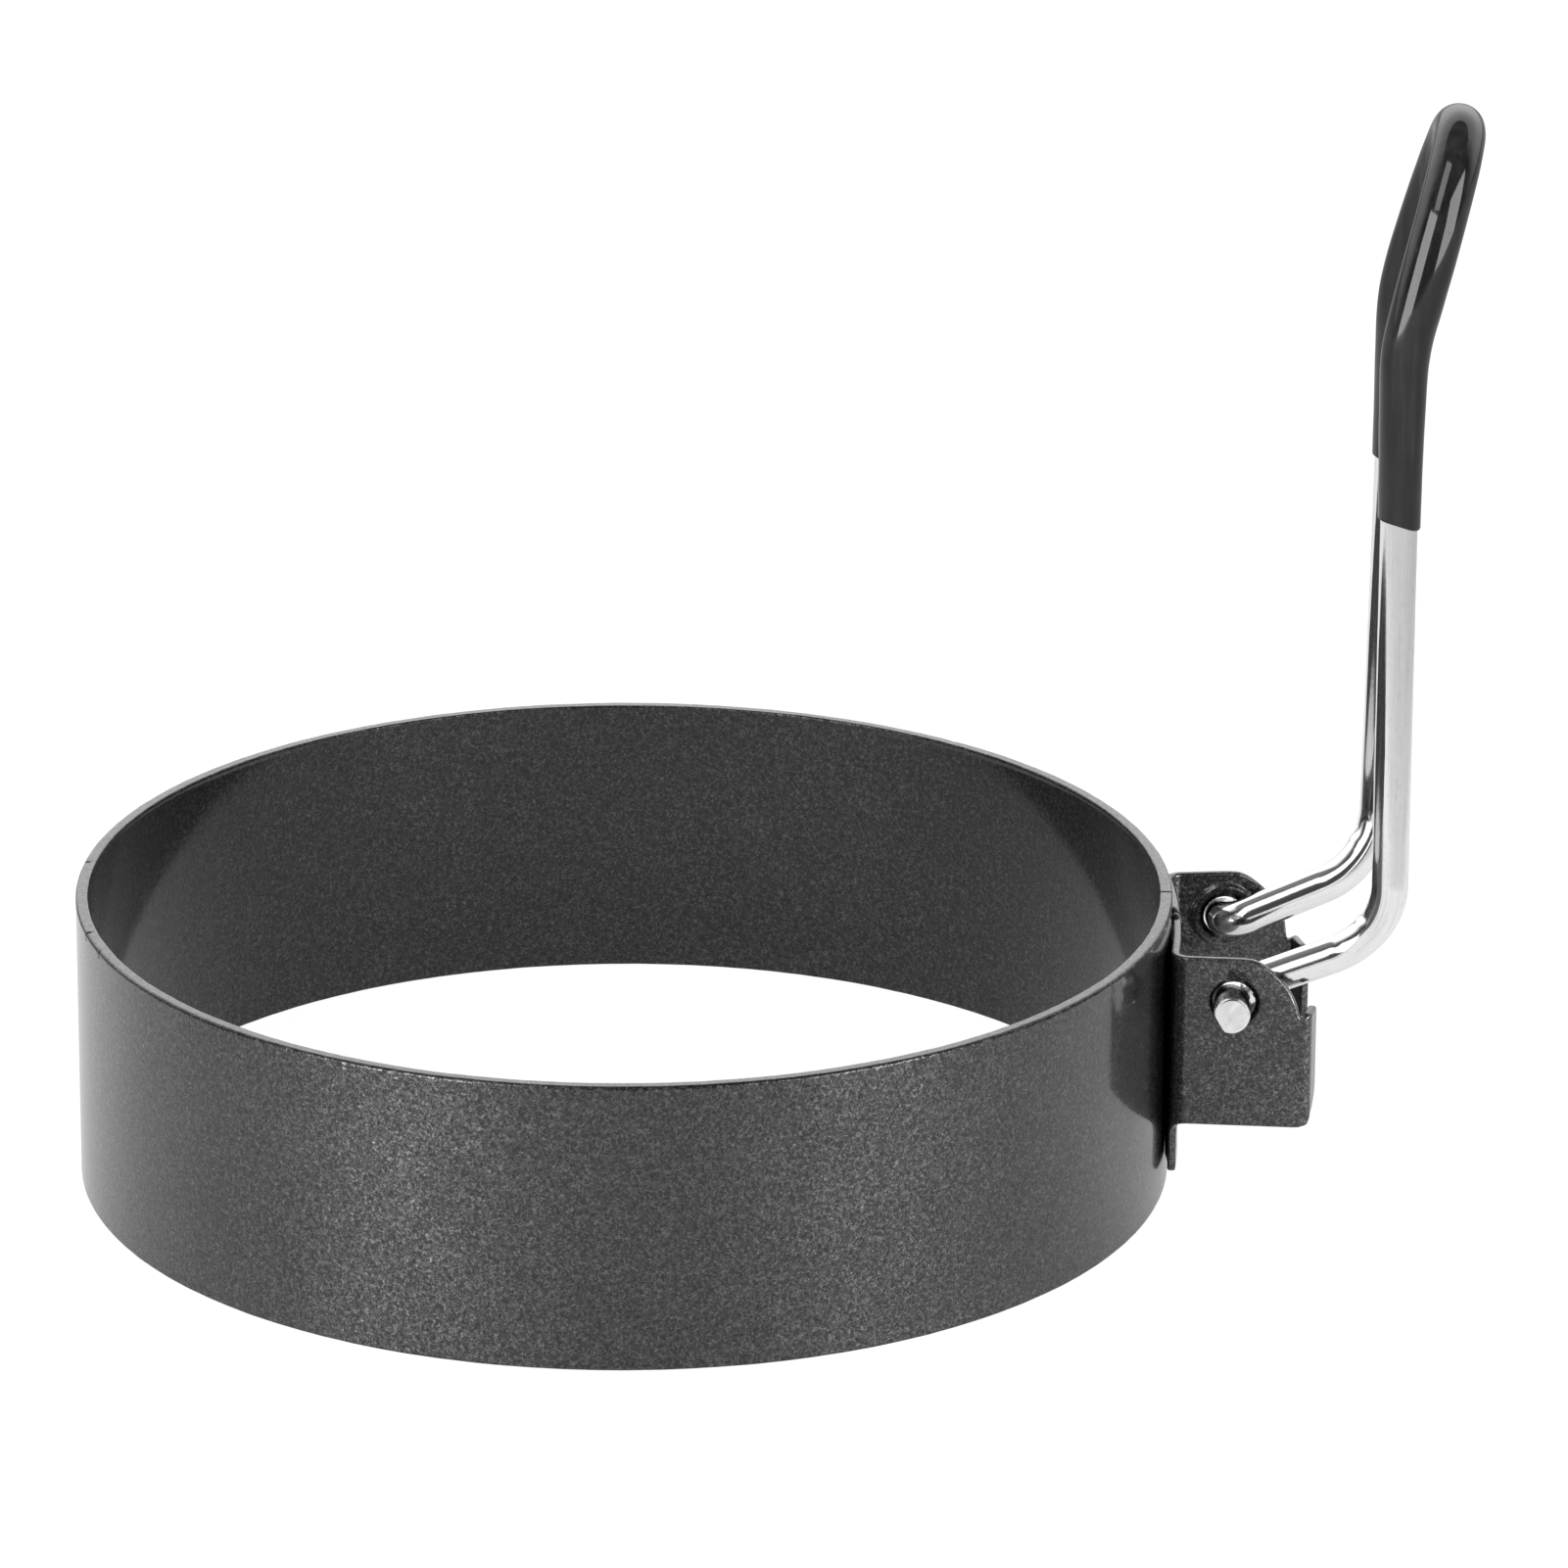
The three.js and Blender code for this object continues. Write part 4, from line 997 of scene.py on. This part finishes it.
plated = bpy.data.collections.new("plated_pieces")
plated.objects.link(bpy.data.objects["handle_bent_wire"])
unplated = bpy.data.collections.new("other_pieces")
for name in ("band_rolled_strip", "bracket_folded_sheet", "grip_dipped_sleeve", "studio_floor"):
    unplated.objects.link(bpy.data.objects[name])
for name, azimuth, elevation, width, height, strong, weak in (
    ("softbox_left", -132.0, 13.0, 0.72, 0.72, 6.0, 1.35),
    ("softbox_right", -44.0, 13.0, 0.72, 0.72, 5.4, 1.25),
    ("panel_high", -122.0, 50.0, 0.42, 0.56, 3.2, 1.2),
):
    softbox(name, azimuth, elevation, 1.0, width, height, strong).light_linking.receiver_collection = unplated
    # plating mirrors a lamp at its full strength, so it has weaker ones, a little taller
    softbox(name + "_plating", azimuth, elevation, 1.0, width, height + 0.10, weak).light_linking.receiver_collection = plated

# two narrow lights that only the coated pieces receive, to bring out the flakes
coated = bpy.data.collections.new("coated_pieces")
for name in ("band_rolled_strip", "bracket_folded_sheet"):
    coated.objects.link(bpy.data.objects[name])
for light in (softbox("flake_light_left", -134.0, -0.8, 1.0, 0.24, 0.03, 375.0), softbox("flake_light_right", -39.0, -0.8, 1.0, 0.24, 0.03, 300.0)):
    light.light_linking.receiver_collection = coated

world = bpy.data.worlds.new("studio")
bpy.context.scene.world = world
world.use_nodes = True
wt = world.node_tree
wt.nodes.clear()
world_out = wt.nodes.new("ShaderNodeOutputWorld")
sky = wt.nodes.new("ShaderNodeBackground")
shown = wt.nodes.new("ShaderNodeBackground")
mix = wt.nodes.new("ShaderNodeMixShader")
path_info = wt.nodes.new("ShaderNodeLightPath")
direction = wt.nodes.new("ShaderNodeTexCoord")
split = wt.nodes.new("ShaderNodeSeparateXYZ")
wt.links.new(direction.outputs["Generated"], split.inputs["Vector"])
depth = wt.nodes.new("ShaderNodeMapRange")
depth.interpolation_type = "SMOOTHSTEP"
depth.inputs["From Min"].default_value = -0.25
depth.inputs["From Max"].default_value = 0.30
wt.links.new(split.outputs["Y"], depth.inputs["Value"])
# behind the object a bright wall, in front of it and overhead a dark room
behind = ramp(wt, split.outputs["Z"], [(0.0, 0.9), (0.15, 1.25), (0.34, 1.6), (0.60, 1.4), (0.775, 1.3), (0.80, 0.22), (1.0, 0.20)])
before = ramp(wt, split.outputs["Z"], [(0.0, 0.05), (0.5, 0.06), (0.8, 0.10), (1.0, 0.20)])
around = wt.nodes.new("ShaderNodeMix")
around.data_type = "RGBA"
wt.links.new(depth.outputs["Result"], around.inputs["Factor"])
wt.links.new(before.outputs["Color"], around.inputs["A"])
wt.links.new(behind.outputs["Color"], around.inputs["B"])
wt.links.new(around.outputs["Result"], sky.inputs["Color"])
shown.inputs["Color"].default_value = (1, 1, 1, 1)
wt.links.new(path_info.outputs["Is Camera Ray"], mix.inputs["Fac"])
wt.links.new(sky.outputs["Background"], mix.inputs[1])
wt.links.new(shown.outputs["Background"], mix.inputs[2])
wt.links.new(mix.outputs["Shader"], world_out.inputs["Surface"])

bpy.context.scene.view_settings.view_transform = "Standard"
bpy.context.scene.view_settings.look = "None"
